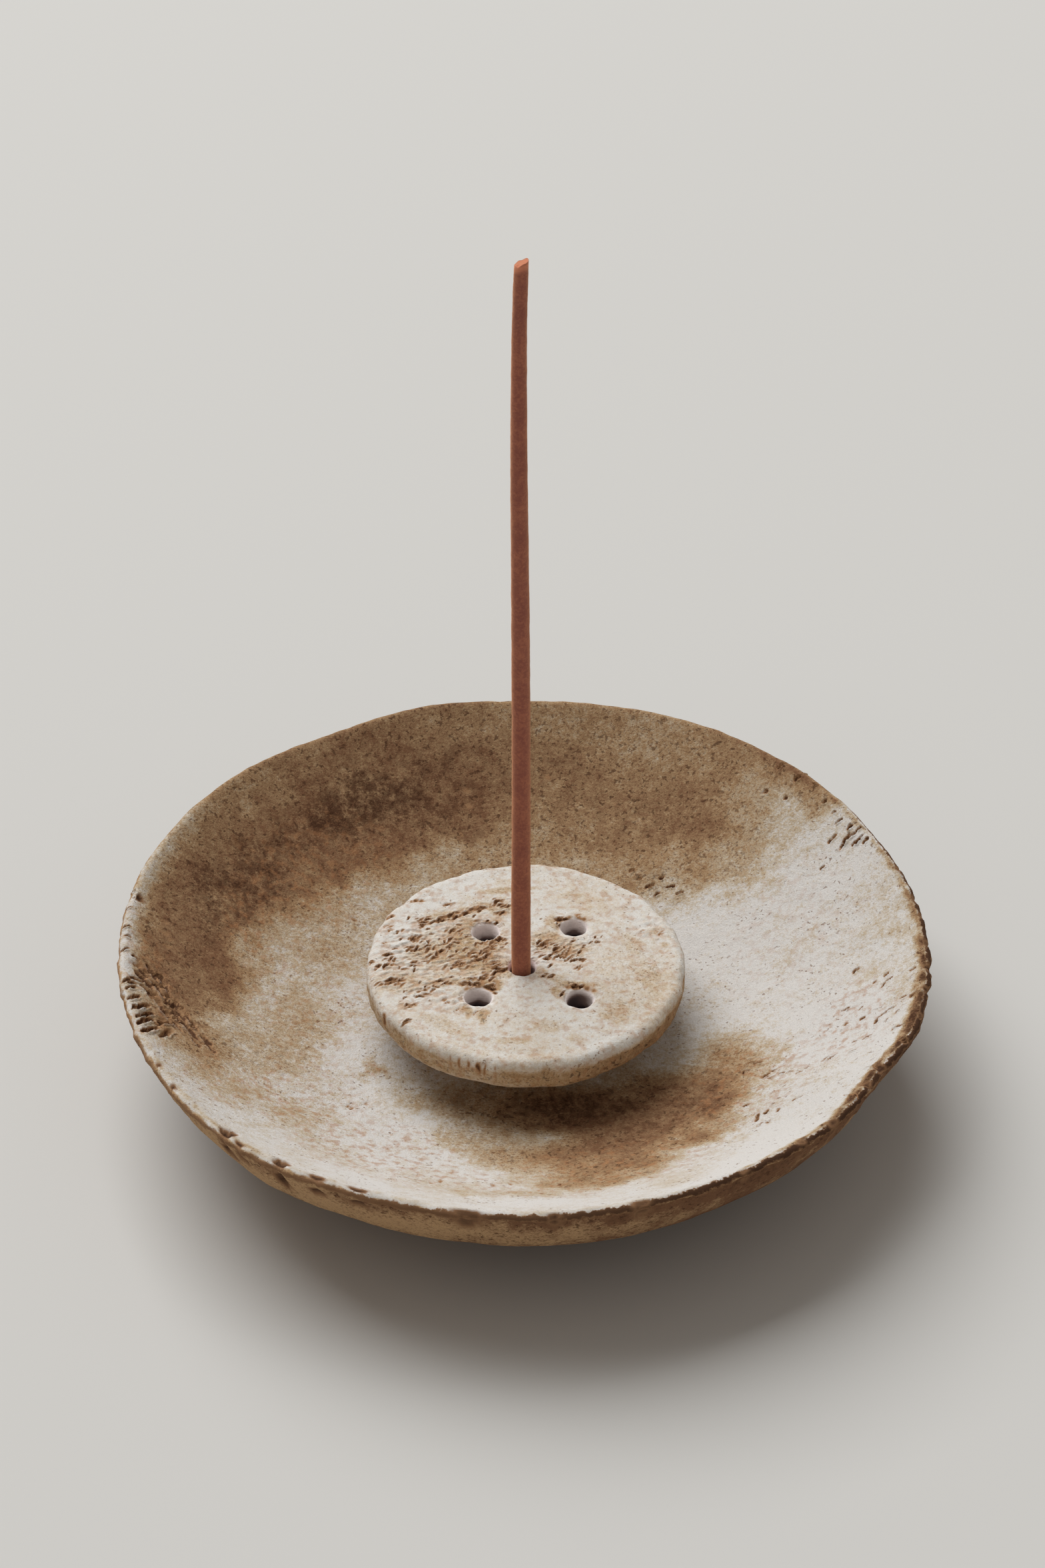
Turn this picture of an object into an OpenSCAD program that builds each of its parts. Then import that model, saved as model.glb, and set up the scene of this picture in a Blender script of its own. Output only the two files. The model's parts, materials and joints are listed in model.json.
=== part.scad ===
// Incense burner: a hand-thrown saucer, a loose pierced stick holder that stands in it, and an
// incense stick in the holder's middle hole. Millimetres, +Z up, the table at z = 0, and the
// dish's axis on the Z axis. The viewer's side is -Y.

/* [Dish] */
// Outside diameter of the rim
dish_d = 110; // [96:1:140]
// Height of the rim above the table
dish_h = 21.5; // [19:0.5:28]
// Thickness of the floor in the middle
floor_t = 5; // [3.5:0.1:6.5]
// Thickness of the wall where it is thickest, just inside its taper
wall_t = 6.5; // [4.5:0.1:7.5]
// Thickness of the rounded rim
rim_t = 1.6; // [1:0.1:3]
// Length over which the wall thins to the rim
taper_l = 10; // [6:0.5:16]
// Slope of the inside where it meets the rim, in degrees
rim_slope = 38; // [30:1:44]

/* [Foot ring] */
// Outside diameter of the ring that the dish stands on
foot_d = 56; // [46:1:66]
// Width of the ring's tread
foot_w = 4; // [3:0.1:6]
// Height of the floor's underside above the table
foot_h = 2; // [1:0.1:3.5]
// Chamfer along the ring's two edges
foot_chamfer = 0.6; // [0.2:0.1:1.2]

/* [Stick holder] */
// Diameter of the pierced disc
disc_d = 42.6; // [38:0.1:52]
// Thickness of the pierced disc
disc_t = 5; // [4:0.1:7]
// Radius of the disc's rounded edges
disc_edge_r = 1.8; // [0.6:0.1:1.9]
// Height of the boss, which is the gap under the disc
boss_h = 5.5; // [4.5:0.1:8]
// Clay between the outer stick holes and the boss's side
boss_wall = 1.9; // [1.2:0.1:3]
// Radius of the fillet between the boss and the disc
boss_fillet = 1.5; // [0.5:0.1:2.5]
// Chamfer round the bottom of the boss
boss_chamfer = 0.6; // [0.2:0.1:1]
// Flat floor left free round the boss
seat_margin = 2; // [1.5:0.1:5]
// How far the loose holder stands off the dish's axis, to the right
holder_right = 0.7; // [0:0.1:1]
// How far the loose holder stands off the dish's axis, towards the viewer
holder_near = 0.3; // [0:0.1:1]

/* [Stick holes] */
// Gap all round a stick in its hole
stick_gap = 0.45; // [0.1:0.05:0.5]
// How far each hole's mouth flares out beyond the hole
mouth_flare = 0.45; // [0.2:0.05:0.8]
// Depth of each hole's flared mouth
mouth_h = 0.8; // [0.3:0.1:1.5]
// Distance between the left and the right pair of holes
hole_span_x = 12.8; // [9:0.1:13.5]
// Distance between the near and the far pair of holes
hole_span_y = 14.4; // [10:0.1:15]
// Most that a hand-poked hole strays from the even grid
hole_stray = 0.9; // [0:0.1:1.2]

/* [Incense stick] */
// Diameter of the stick at its foot
stick_d = 2.5; // [2:0.1:2.7]
// Diameter of the stick at its unlit tip
tip_d = 2; // [1.6:0.1:2.5]
// Length of the stick
stick_l = 118.5; // [112:0.5:230]
// Slant of the snapped tip, in degrees
tip_slant = 22; // [0:1:40]

/* [Hidden] */
$fn = 96;
curve_steps = 22;
arc_steps = 10;
// Excess by which a cutting body passes the face that it opens
overcut = 1;

// Heights, from the table up
seat_z = foot_h + floor_t;
disc_under_z = seat_z + boss_h;
disc_top_z = disc_under_z + disc_t;

// The stick holes, from the disc's centre: the middle one, and one to each corner of a
// grid, each of which strays its own way. They go right through, so a stick stands on the
// dish's floor.
hole_d = stick_d + 2 * stick_gap;
middle_hole = hole_stray * [-0.5, -1];
corner_signs = [[-1, -1], [1, -1], [-1, 1], [1, 1]];
corner_ways = [[0, 0], [0.9, -0.4], [1, -0.7], [0.2, 0.4]];
corner_holes = [for (i = [0:3])
    [corner_signs[i].x * hole_span_x, corner_signs[i].y * hole_span_y] / 2
        + hole_stray * corner_ways[i]];

// The boss reaches round the outermost hole.
boss_r = max([for (hole = corner_holes) norm(hole)]) + hole_d / 2 + boss_wall;
holder_place = [holder_right, -holder_near];

// The rounded rim: a half circle that caps the sloping wall
rim_r = rim_t / 2;
rim_centre = [dish_d / 2 - rim_r, dish_h - rim_r];
rim_inner = rim_centre + rim_r * [-sin(rim_slope), cos(rim_slope)];

// The inside rises from the flat seat to the rim as a power of the way out, steep enough
// at the end to meet the rim at its slope.
seat_r = boss_r + seat_margin;
inside_rise = rim_inner.y - seat_z;
inside_run = rim_inner.x - seat_r;
inside_power = tan(rim_slope) * inside_run / inside_rise;

// Bulge of the taper: 1 makes it straight, and more rounds the wall's outside.
taper_power = 1.3;

function inside_z(r) =
    r <= seat_r ? seat_z : seat_z + inside_rise * pow((r - seat_r) / inside_run, inside_power);

function inside_slope(r) =
    r <= seat_r ? 0
    : atan(inside_power * inside_rise / inside_run
        * pow((r - seat_r) / inside_run, inside_power - 1));

// Way out along the inside, 0 at the seat's edge and 1 at the rim
function inside_point(way) =
    let (r = seat_r + inside_run * way) [r, inside_z(r)];

// The clay thickens from floor_t towards wall_t on the way out, then thins to the rim.
function thickness(way) =
    let (full = floor_t + (wall_t - floor_t) * way, left = norm(rim_inner - inside_point(way)))
    left >= taper_l ? full : full - (full - rim_t) * pow(1 - left / taper_l, taper_power);

// The outside lies square to the inside.
function outside_point(way) =
    let (p = inside_point(way), slope = inside_slope(p.x))
    p + thickness(way) * [sin(slope), -cos(slope)];

function arc(centre, r, from, to) =
    [for (i = [0:arc_steps]) let (a = from + (to - from) * i / arc_steps)
        centre + r * [cos(a), sin(a)]];

module bowl_shell() {
    inside = [for (i = [0:curve_steps]) inside_point(i / curve_steps)];
    rim = arc(rim_centre, rim_r, 90 + rim_slope, rim_slope - 90);
    outside = [for (i = [curve_steps - 1:-1:0]) outside_point(i / curve_steps)];
    rotate_extrude()
        polygon(concat(
            [[0, seat_z]], inside,
            [for (i = [1:arc_steps]) rim[i]],
            outside, [[0, foot_h]]));
}

module foot_ring() {
    outer = foot_d / 2;
    inner = outer - foot_w;
    middle = (outer + inner) / 2;
    top = inside_z(middle) - floor_t / 2;
    rotate_extrude()
        polygon([
            [inner, top], [inner, foot_chamfer], [inner + foot_chamfer, 0],
            [outer - foot_chamfer, 0], [outer, foot_chamfer], [outer, top]]);
}

module dish() {
    color([0.72, 0.63, 0.52])
        union() {
            bowl_shell();
            foot_ring();
        }
}

module holder_blank() {
    disc_r = disc_d / 2;
    edge_x = disc_r - disc_edge_r;
    rotate_extrude()
        polygon(concat(
            [[0, seat_z], [boss_r - boss_chamfer, seat_z], [boss_r, seat_z + boss_chamfer]],
            arc([boss_r + boss_fillet, disc_under_z - boss_fillet], boss_fillet, 180, 90),
            arc([edge_x, disc_under_z + disc_edge_r], disc_edge_r, -90, 0),
            arc([edge_x, disc_top_z - disc_edge_r], disc_edge_r, 0, 90),
            [[0, disc_top_z]]));
}

module stick_hole() {
    mouth_d = hole_d + 2 * mouth_flare;
    translate([0, 0, seat_z - overcut])
        cylinder(d = hole_d, h = overcut + disc_top_z - seat_z);
    translate([0, 0, disc_top_z - mouth_h])
        cylinder(d1 = hole_d, d2 = mouth_d, h = mouth_h);
    translate([0, 0, disc_top_z])
        cylinder(d = mouth_d, h = overcut);
}

module stick_holder() {
    color([0.86, 0.8, 0.71])
        translate(holder_place)
            difference() {
                holder_blank();
                for (hole = concat([middle_hole], corner_holes))
                    translate(hole)
                        stick_hole();
            }
}

module incense_stick() {
    cut_size = 4 * stick_d;
    color([0.42, 0.2, 0.15])
        translate(holder_place + middle_hole)
            difference() {
                translate([0, 0, seat_z])
                    cylinder(d1 = stick_d, d2 = tip_d, h = stick_l);
                // The tip snapped off on the slant, high on the right.
                translate([tip_d / 2, 0, seat_z + stick_l])
                    rotate([0, -tip_slant, 0])
                        translate([-cut_size, -cut_size / 2, 0])
                            cube([2 * cut_size, cut_size, cut_size]);
            }
}

dish();
stick_holder();
incense_stick();
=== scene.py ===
"""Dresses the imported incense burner: a worn clay dish, its torn and pierced stick holder, and a stick."""

import json
import math
import random

import bmesh
import bpy
import numpy as np
from bpy.props import FloatProperty, FloatVectorProperty, IntProperty, PointerProperty
from bpy.types import Operator, Panel, PropertyGroup
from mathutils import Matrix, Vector, noise


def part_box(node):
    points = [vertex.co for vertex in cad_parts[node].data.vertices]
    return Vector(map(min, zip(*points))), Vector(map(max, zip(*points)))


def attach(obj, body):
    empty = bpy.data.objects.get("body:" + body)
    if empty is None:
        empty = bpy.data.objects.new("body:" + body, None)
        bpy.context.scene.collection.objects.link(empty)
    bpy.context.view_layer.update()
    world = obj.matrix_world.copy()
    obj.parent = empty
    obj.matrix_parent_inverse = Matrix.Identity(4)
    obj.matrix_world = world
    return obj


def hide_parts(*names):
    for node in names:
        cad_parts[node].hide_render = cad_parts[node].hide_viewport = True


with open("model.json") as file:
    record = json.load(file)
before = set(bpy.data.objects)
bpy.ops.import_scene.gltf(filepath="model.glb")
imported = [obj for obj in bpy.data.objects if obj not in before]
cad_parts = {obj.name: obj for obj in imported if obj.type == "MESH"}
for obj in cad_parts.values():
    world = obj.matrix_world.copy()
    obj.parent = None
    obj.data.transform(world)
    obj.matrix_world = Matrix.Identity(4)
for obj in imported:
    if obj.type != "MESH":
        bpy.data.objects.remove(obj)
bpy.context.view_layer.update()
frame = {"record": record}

bl_info = {
    "name": "Incense Burner",
    "version": (1, 0, 0),
    "blender": (4, 5, 0),
    "location": "3D View > Sidebar > Incense Burner",
    "description": "Models and dresses a clay incense burner round its packed frame",
    "category": "Object",
}

# Shapes are worked out in millimetres, and scaled to metres when a piece is finished.
MM = 0.001
TAU = math.tau

DISH_LOW, DISH_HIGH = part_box("dish")
HOLDER_LOW, HOLDER_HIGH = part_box("stick_holder")
STICK_LOW, STICK_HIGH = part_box("incense_stick")


def plan_centre(low, high):
    """The middle of a box in plan, in millimetres."""
    return (low.x + high.x) / 2 / MM, (low.y + high.y) / 2 / MM


# Places, in millimetres, from the frame
HOLDER_CENTRE = plan_centre(HOLDER_LOW, HOLDER_HIGH)
STICK_CENTRE = plan_centre(STICK_LOW, STICK_HIGH)
SEAT_HEIGHT = HOLDER_LOW.z / MM
DISC_TOP = HOLDER_HIGH.z / MM
DISC_RADIUS = (HOLDER_HIGH.x - HOLDER_LOW.x) / 2 / MM
FREE_HOLES = [mount for mount in frame["record"]["mounts"] if mount["kind"] == "bore"]
HOLE_RADIUS = FREE_HOLES[0]["dims"]["r_mm"]
HOLE_PLACES = [(mount["pos_m"][0] / MM, mount["pos_m"][1] / MM) for mount in FREE_HOLES]
# The five holes, from the disc's centre
HOLES = [(x - HOLDER_CENTRE[0], y - HOLDER_CENTRE[1]) for x, y in HOLE_PLACES + [STICK_CENTRE]]


# ---- Sizes and colours ----


def length(name, description, default_mm):
    """A length that a user may change, given in millimetres and held in metres."""
    return FloatProperty(
        name=name, description=description, default=default_mm * MM, min=0.0, max=200.0 * MM,
        subtype="DISTANCE", unit="LENGTH", precision=5,
    )


def angle(name, description, default_degrees):
    """An angle that a user may change, given in degrees and held in radians."""
    return FloatProperty(
        name=name, description=description, default=math.radians(default_degrees),
        subtype="ANGLE", unit="ROTATION", precision=5,
    )


def colour(name, description, default):
    """A colour that a user may change, in linear light."""
    return FloatVectorProperty(
        name=name, description=description, default=default, min=0.0, max=1.0, size=3,
        subtype="COLOR",
    )


class DishSettings(PropertyGroup):
    floor: length("Floor", "Thickness of the floor in the middle", 5.0)
    wall: length("Wall", "Thickness of the wall where it is thickest", 6.5)
    rim: length("Rim", "Thickness of the rounded rim", 1.6)
    taper: length("Taper", "Length over which the wall thins to the rim", 10.0)
    seat: length("Seat", "Radius of the flat floor that the holder stands on", 16.0)
    foot_ring: length("Foot ring", "Outside diameter of the foot ring", 56.0)
    foot_width: length("Foot width", "Width of the foot ring's tread", 4.0)
    foot_height: length("Foot height", "Height of the underside above the table", 2.0)
    rim_slope: angle("Rim slope", "Slope of the inside where it meets the rim", 38)
    lumps: length("Lumps", "Height of the uneven places left by the hands", 0.16)
    turns: IntProperty(name="Turns", description="Divisions round the dish", default=560, min=32)
    slip: colour("Slip", "Off-white slip where it is thick", (0.69, 0.66, 0.625))
    warm_slip: colour("Warm slip", "Slip where it is thin", (0.54, 0.44, 0.315))
    ochre: colour("Ochre", "Ochre where the wash is thin", (0.413, 0.266, 0.144))
    wash: colour("Wash", "Brown stain in the slip", (0.213, 0.107, 0.056))
    iron: colour("Iron", "Darkest brown of the stain", (0.078, 0.035, 0.018))
    rust: colour("Rust", "Orange-brown spots", (0.42, 0.20, 0.09))
    clay: colour("Clay", "Bare clay of the outside", (0.50, 0.315, 0.165))
    # Also paints a highlight on the lit side of the scraped ridges
    chalk: colour("Chalk", "White of scraped ridges", (0.80, 0.78, 0.74))


class HolderSettings(PropertyGroup):
    disc: length("Disc", "Thickness of the pierced disc", 5.0)
    edge: length("Edge", "Radius of the disc's rounded edges", 1.8)
    boss: length("Boss", "Radius of the boss under the disc", 14.0)
    flare: length("Flare", "How far each hole's mouth flares out", 0.5)
    grain: length("Grain", "Spacing of the mesh before the top is refined", 0.42)
    lumps: length("Lumps", "Height of the uneven places left by the hands", 0.13)
    tear: length("Tear", "Depth of the torn places", 0.30)
    slip: colour("Slip", "Cream slip", (0.742, 0.715, 0.668))
    warm_slip: colour("Warm slip", "Slip where it is thin", (0.655, 0.555, 0.435))
    ochre: colour("Ochre", "Ochre where the wash is thin", (0.51, 0.358, 0.208))
    wash: colour("Wash", "Brown stain in the torn places", (0.27, 0.155, 0.08))
    iron: colour("Iron", "Darkest brown of the stain", (0.055, 0.033, 0.024))
    rust: colour("Rust", "Orange-brown spots and torn places", (0.46, 0.24, 0.12))
    lining: colour("Lining", "Lilac-grey coat inside the holes", (0.97, 0.88, 0.85))
    # Also paints the highlight on raised lips and flakes and on each hole's near lip
    chalk: colour("Chalk", "White of torn, raised flakes", (0.86, 0.84, 0.80))


class StickSettings(PropertyGroup):
    bow: FloatProperty(name="Bow", description="Share of the stick's lean and bow", default=1.0)
    paste: colour("Paste", "Pressed incense", (0.27, 0.085, 0.066))
    powder: colour("Powder", "Loose powder on the stick", (0.47, 0.170, 0.10))


class StageSettings(PropertyGroup):
    floor: colour("Floor", "Plain pale floor", (0.67, 0.66, 0.635))
    window: FloatProperty(
        name="Window", description="Power of the soft window light", default=156.0, unit="POWER"
    )
    sky: FloatProperty(name="Sky", description="Strength of the light all round", default=0.285)
    lens: FloatProperty(
        name="Lens", description="Focal length of the camera", default=86.0, unit="CAMERA"
    )
    camera_place: FloatVectorProperty(
        name="Camera place", description="Where the camera stands",
        default=(0.00023, -0.39219, 0.34130), size=3,
        subtype="TRANSLATION", unit="LENGTH", precision=5,
    )
    camera_dip: angle("Camera dip", "How far the camera looks down", 36.859)


# ---- Outlines and meshes ----


def arc(centre, radius, start, end, steps):
    """Points on an arc, as (radius from the axis, height), with angles in degrees."""
    angles = np.radians(np.linspace(start, end, steps + 1))
    return [(centre[0] + radius * math.cos(a), centre[1] + radius * math.sin(a)) for a in angles]


def spun(outline, turns):
    """A closed bmesh of revolution about Z, from an outline that starts and ends on the axis."""
    bm = bmesh.new()
    verts = [bm.verts.new((x, 0.0, z)) for x, z in outline]
    edges = [bm.edges.new(pair) for pair in zip(verts, verts[1:])]
    bmesh.ops.spin(
        bm, geom=verts + edges, cent=(0, 0, 0), axis=(0, 0, 1), angle=TAU, steps=turns,
        use_merge=True, use_duplicate=False,
    )
    bmesh.ops.remove_doubles(bm, verts=bm.verts, dist=1e-4)
    bmesh.ops.recalc_face_normals(bm, faces=bm.faces)
    return bm


def as_object(name, bm):
    """Makes the bmesh an object, still in millimetres."""
    mesh = bpy.data.meshes.new(name)
    bm.to_mesh(mesh)
    bm.free()
    piece = bpy.data.objects.new(name, mesh)
    bpy.context.scene.collection.objects.link(piece)
    return piece


def rows_of(vectors, field):
    """The vectors that Blender keeps for the points, as an array of rows."""
    flat = np.empty(len(vectors) * 3, dtype=np.float32)
    vectors.foreach_get(field, flat)
    return flat.reshape(-1, 3).astype(float)


def points_and_normals(mesh):
    """Where the mesh's points are, and which way each one faces."""
    return rows_of(mesh.vertices, "co"), rows_of(mesh.vertex_normals, "vector")


def move_points(mesh, points):
    """Puts the mesh's points where the array says."""
    mesh.vertices.foreach_set("co", points.astype(np.float32).ravel())
    mesh.update()


def store(mesh, **layers):
    """Keeps numbers for each point, by name, for the material to read."""
    for name, values in layers.items():
        layer = mesh.attributes.new(name, "FLOAT", "POINT")
        layer.data.foreach_set("value", np.clip(values, 0.0, 1.0).astype(np.float32))


def finish_piece(piece, node, body, material):
    """Scales a piece to metres, gives it its finish, and puts it in its CAD node's place."""
    move_points(piece.data, rows_of(piece.data.vertices, "co") * MM)
    piece.data.polygons.foreach_set("use_smooth", [True] * len(piece.data.polygons))
    piece.data.materials.clear()
    piece.data.materials.append(material)
    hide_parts(node)
    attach(piece, body)


def with_modifier(piece, kind, **settings):
    """Applies one modifier to the piece's mesh."""
    modifier = piece.modifiers.new(kind.title(), kind)
    for name, value in settings.items():
        setattr(modifier, name, value)
    bpy.context.view_layer.update()
    evaluated = piece.evaluated_get(bpy.context.evaluated_depsgraph_get())
    shaped = bpy.data.meshes.new_from_object(evaluated)
    piece.modifiers.clear()
    old = piece.data
    piece.data = shaped
    bpy.data.meshes.remove(old)


def refine(piece, chosen, places=()):
    """Halves the mesh's spacing over the faces whose middles are chosen, and evens it out. If
    places are given, ellipses as reach() takes them, only the faces inside one count."""
    bm = bmesh.new()
    bm.from_mesh(piece.data)
    middles = np.array([face.calc_center_median() for face in bm.faces])
    inside = np.full(len(middles), not places)
    for place in places:
        inside |= reach(middles, *place) < 1
    inside &= chosen(middles)
    edges = {edge for face, pick in zip(bm.faces, inside) if pick for edge in face.edges}
    bmesh.ops.subdivide_edges(bm, edges=list(edges), cuts=1, use_grid_fill=True)
    bmesh.ops.triangulate(bm, faces=[face for face in bm.faces if len(face.verts) > 4])
    bmesh.ops.smooth_vert(
        bm, verts=bm.verts, factor=0.5, use_axis_x=True, use_axis_y=True, use_axis_z=True
    )
    bm.to_mesh(piece.data)
    bm.free()


# ---- Hand work: noise, dents and painted places ----


def rough(points, size, seed):
    """Smooth noise between about -1 and 1 at each point, with features of that size."""
    shift = np.array([seed * 17.3, seed * 5.1, seed * -9.7])
    return np.array([noise.noise(row) for row in points / size + shift])


def wander(points, size, seed):
    """Noise as a sideways step at each point."""
    across, along = rough(points, size, seed), rough(points, size, seed + 1)
    return np.stack([across, along, 0 * across], axis=1)


def ease(value, low, high):
    """0 below low, 1 above high, and smooth between. With low above high it falls."""
    t = np.clip((value - low) / (high - low), 0.0, 1.0)
    return t * t * (3 - 2 * t)


def polar(points):
    """Each point's distance from the Z axis, and its way round it in radians."""
    return np.hypot(points[:, 0], points[:, 1]), np.arctan2(points[:, 1], points[:, 0])


def off_by(degrees, middle):
    """How far round each angle lies from the middle one, from -180 to 180."""
    return (degrees - middle + 180) % 360 - 180


def within_spot(points, x, y, along, across, turn):
    """Steps from a spot in plan, 1 at the edge of its ellipse. turn is in degrees."""
    a = math.radians(turn)
    dx, dy = points[:, 0] - x, points[:, 1] - y
    u = (dx * math.cos(a) + dy * math.sin(a)) / along
    v = (-dx * math.sin(a) + dy * math.cos(a)) / across
    return u, v


def reach(points, *spot):
    """Distance from a spot in plan, 1 at the edge of its ellipse."""
    return np.hypot(*within_spot(points, *spot))


def paint(points, spots, blur=0.45):
    """How much of a stain lies at each point, from listed spots of
    (x, y, half length, half width, turn in degrees, strength)."""
    # The same spots serve for stains, thick slip, rust and painted shade.
    bare = np.ones(len(points))
    for *spot, strength in spots:
        bare *= 1 - strength * ease(reach(points, *spot), 1 + blur, 1 - blur)
    return 1 - bare


def bands(points, rows, soft=4.0, soft_degrees=11.0):
    """How much stain lies at each point, from listed bands that follow the wall:
    (first degree, last degree, inner radius, outer radius, strength)."""
    out, around = polar(points)
    degrees = np.degrees(around)
    total = np.zeros(len(points))
    for first, last, inner, outer, strength in rows:
        half = (last - first) / 2
        off = np.abs(off_by(degrees, (first + last) / 2))
        share = ease(off, half + soft_degrees, half - soft_degrees)
        share *= ease(out, inner - soft, inner + soft) * ease(out, outer + soft, outer - soft)
        total += strength * share
    return total


def bent(points, warp, size, seed, fine=0.0, fine_size=0.0):
    """The points' places in plan, moved by up to warp, so that outlines there come out uneven."""
    places = points + warp * wander(points, size, seed)
    if fine:
        places = places + fine * warp * wander(points, fine_size, seed + 2)
    return places


def window(points, times, spot):
    """Which points lie about a spot, out to so many times its size."""
    x, y, along, across = spot[:4]
    size = times * max(along, across)
    return (np.abs(points[:, 0] - x) < size) & (np.abs(points[:, 1] - y) < size)


def deepen(depths, near, values):
    """Raises the depths of the near points to the values where those are more."""
    depths[near] = np.maximum(depths[near], values)


def hollows(points, dents, warp, size, seed):
    """Depth at each point of dents of (x, y, half length, half width, turn, depth)."""
    places = bent(points, warp, size, seed)
    deepest = np.zeros(len(points))
    for *spot, depth in dents:
        near = window(points, 1.6, spot)
        deepen(deepest, near, depth * ease(reach(places[near], *spot), 1.15, 0.35))
    return deepest


def torn(points, scoops, warp, size, seed):
    """Depth, raised lip and painted shade at each point of torn scoops, given as dents are. A scoop
    drops sharply under its far lip and rises gently towards the viewer, and the shade is painted under that
    lip."""
    places = bent(points, warp, size, seed, 0.4, size / 3)
    deepest, lips, darkest = (np.zeros(len(points)) for _ in range(3))
    for *spot, depth in scoops:
        near = window(points, 1.6, spot)
        u, v = within_spot(places[near], *spot)
        v = v + 0.35 * u * u
        full = np.clip(1 - u * u, 0, 1)
        deepen(deepest, near, depth * full * (ease(v, 0.08, -0.10) * ease(v, -1.0, -0.15)))
        deepen(lips, near, depth * full * np.exp(-(((v - 0.22) / 0.22) ** 2)))
        # Painted shade under the far lip, darker for deeper scoops
        shade = full * ease(v, 0.10, 0.0) * ease(v, -0.95, -0.40)
        deepen(darkest, near, shade * min(1.0, depth / 0.3))
    return deepest, lips, darkest


def scraped(points, strokes, warp, size, seed):
    """Depth at each point of strokes given as dents are, and the ridges thrown up along them on
    the viewer's side."""
    places = bent(points, warp, size, seed, 0.5, 0.4 * size)
    deepest, ridges = np.zeros(len(points)), np.zeros(len(points))
    for x, y, along, across, turn, depth in strokes:
        along, across = 1.25 * along, 1.2 * across
        near = window(points, 2.5, (x, y, along, across))
        far = reach(places[near], x, y, along, across, turn)
        deepen(deepest, near, depth * ease(far, 1.15, 0.55))
        a = math.radians(turn)
        side = across + 0.10
        beside = x + side * math.sin(a), y - side * math.cos(a)
        far = reach(places[near], *beside, along, 0.14, turn)
        deepen(ridges, near, depth * ease(far, 1.15, 0.3))
    return deepest, np.where(deepest > 0.05, 0, ridges)


def scattered(clusters, seed, depth, plump=(0.35, 0.7)):
    """Small dents thrown about each cluster, the same on each run."""
    dice = random.Random(seed)
    dents = []
    for x, y, along, across, turn, count, size, lie in clusters:
        a = math.radians(turn)
        for _ in range(count):
            u, v = dice.gauss(0, 0.5) * along, dice.gauss(0, 0.5) * across
            half = size * dice.uniform(0.6, 1.5)
            place = x + u * math.cos(a) - v * math.sin(a), y + u * math.sin(a) + v * math.cos(a)
            shape = half, half * dice.uniform(*plump), lie + dice.uniform(-25, 25)
            dents.append((*place, *shape, depth * dice.uniform(0.5, 1.2)))
    return dents


# Passes that smooth a curve through listed points
SMOOTHINGS = 12


def smoothed(curve, ends_meet):
    """A curve of even steps, smoothed. Its ends stay where they are, unless they meet."""
    for _ in range(SMOOTHINGS):
        softer = (np.roll(curve, 1) + 2 * curve + np.roll(curve, -1)) / 4
        if not ends_meet:
            softer[0], softer[-1] = curve[0], curve[-1]
        curve = softer
    return curve


def ring_value(degrees, table, column):
    """A value that changes smoothly round the rim, from the table's points."""
    angles, values = [row[0] for row in table], [row[column] for row in table]
    fine = np.arange(361.0)
    curve = smoothed(np.interp(fine, angles, values, period=360), True)
    return np.interp(degrees % 360, fine, curve)


# ---- Dish ----

RIM_STEPS = 10
INSIDE_STEPS = 66
OUTSIDE_STEPS = 20
TAPER_POWER = 1.3
# Crowds the inside's points towards the rim
CROWDING = 0.22
# Kept wash where there is none, so that thick slip can lie below it
WASH_BASE = 0.2
# Room left round each knife mark when the mesh there is refined, once and then again
MARK_MARGINS = (1.0, 0.6)


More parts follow.
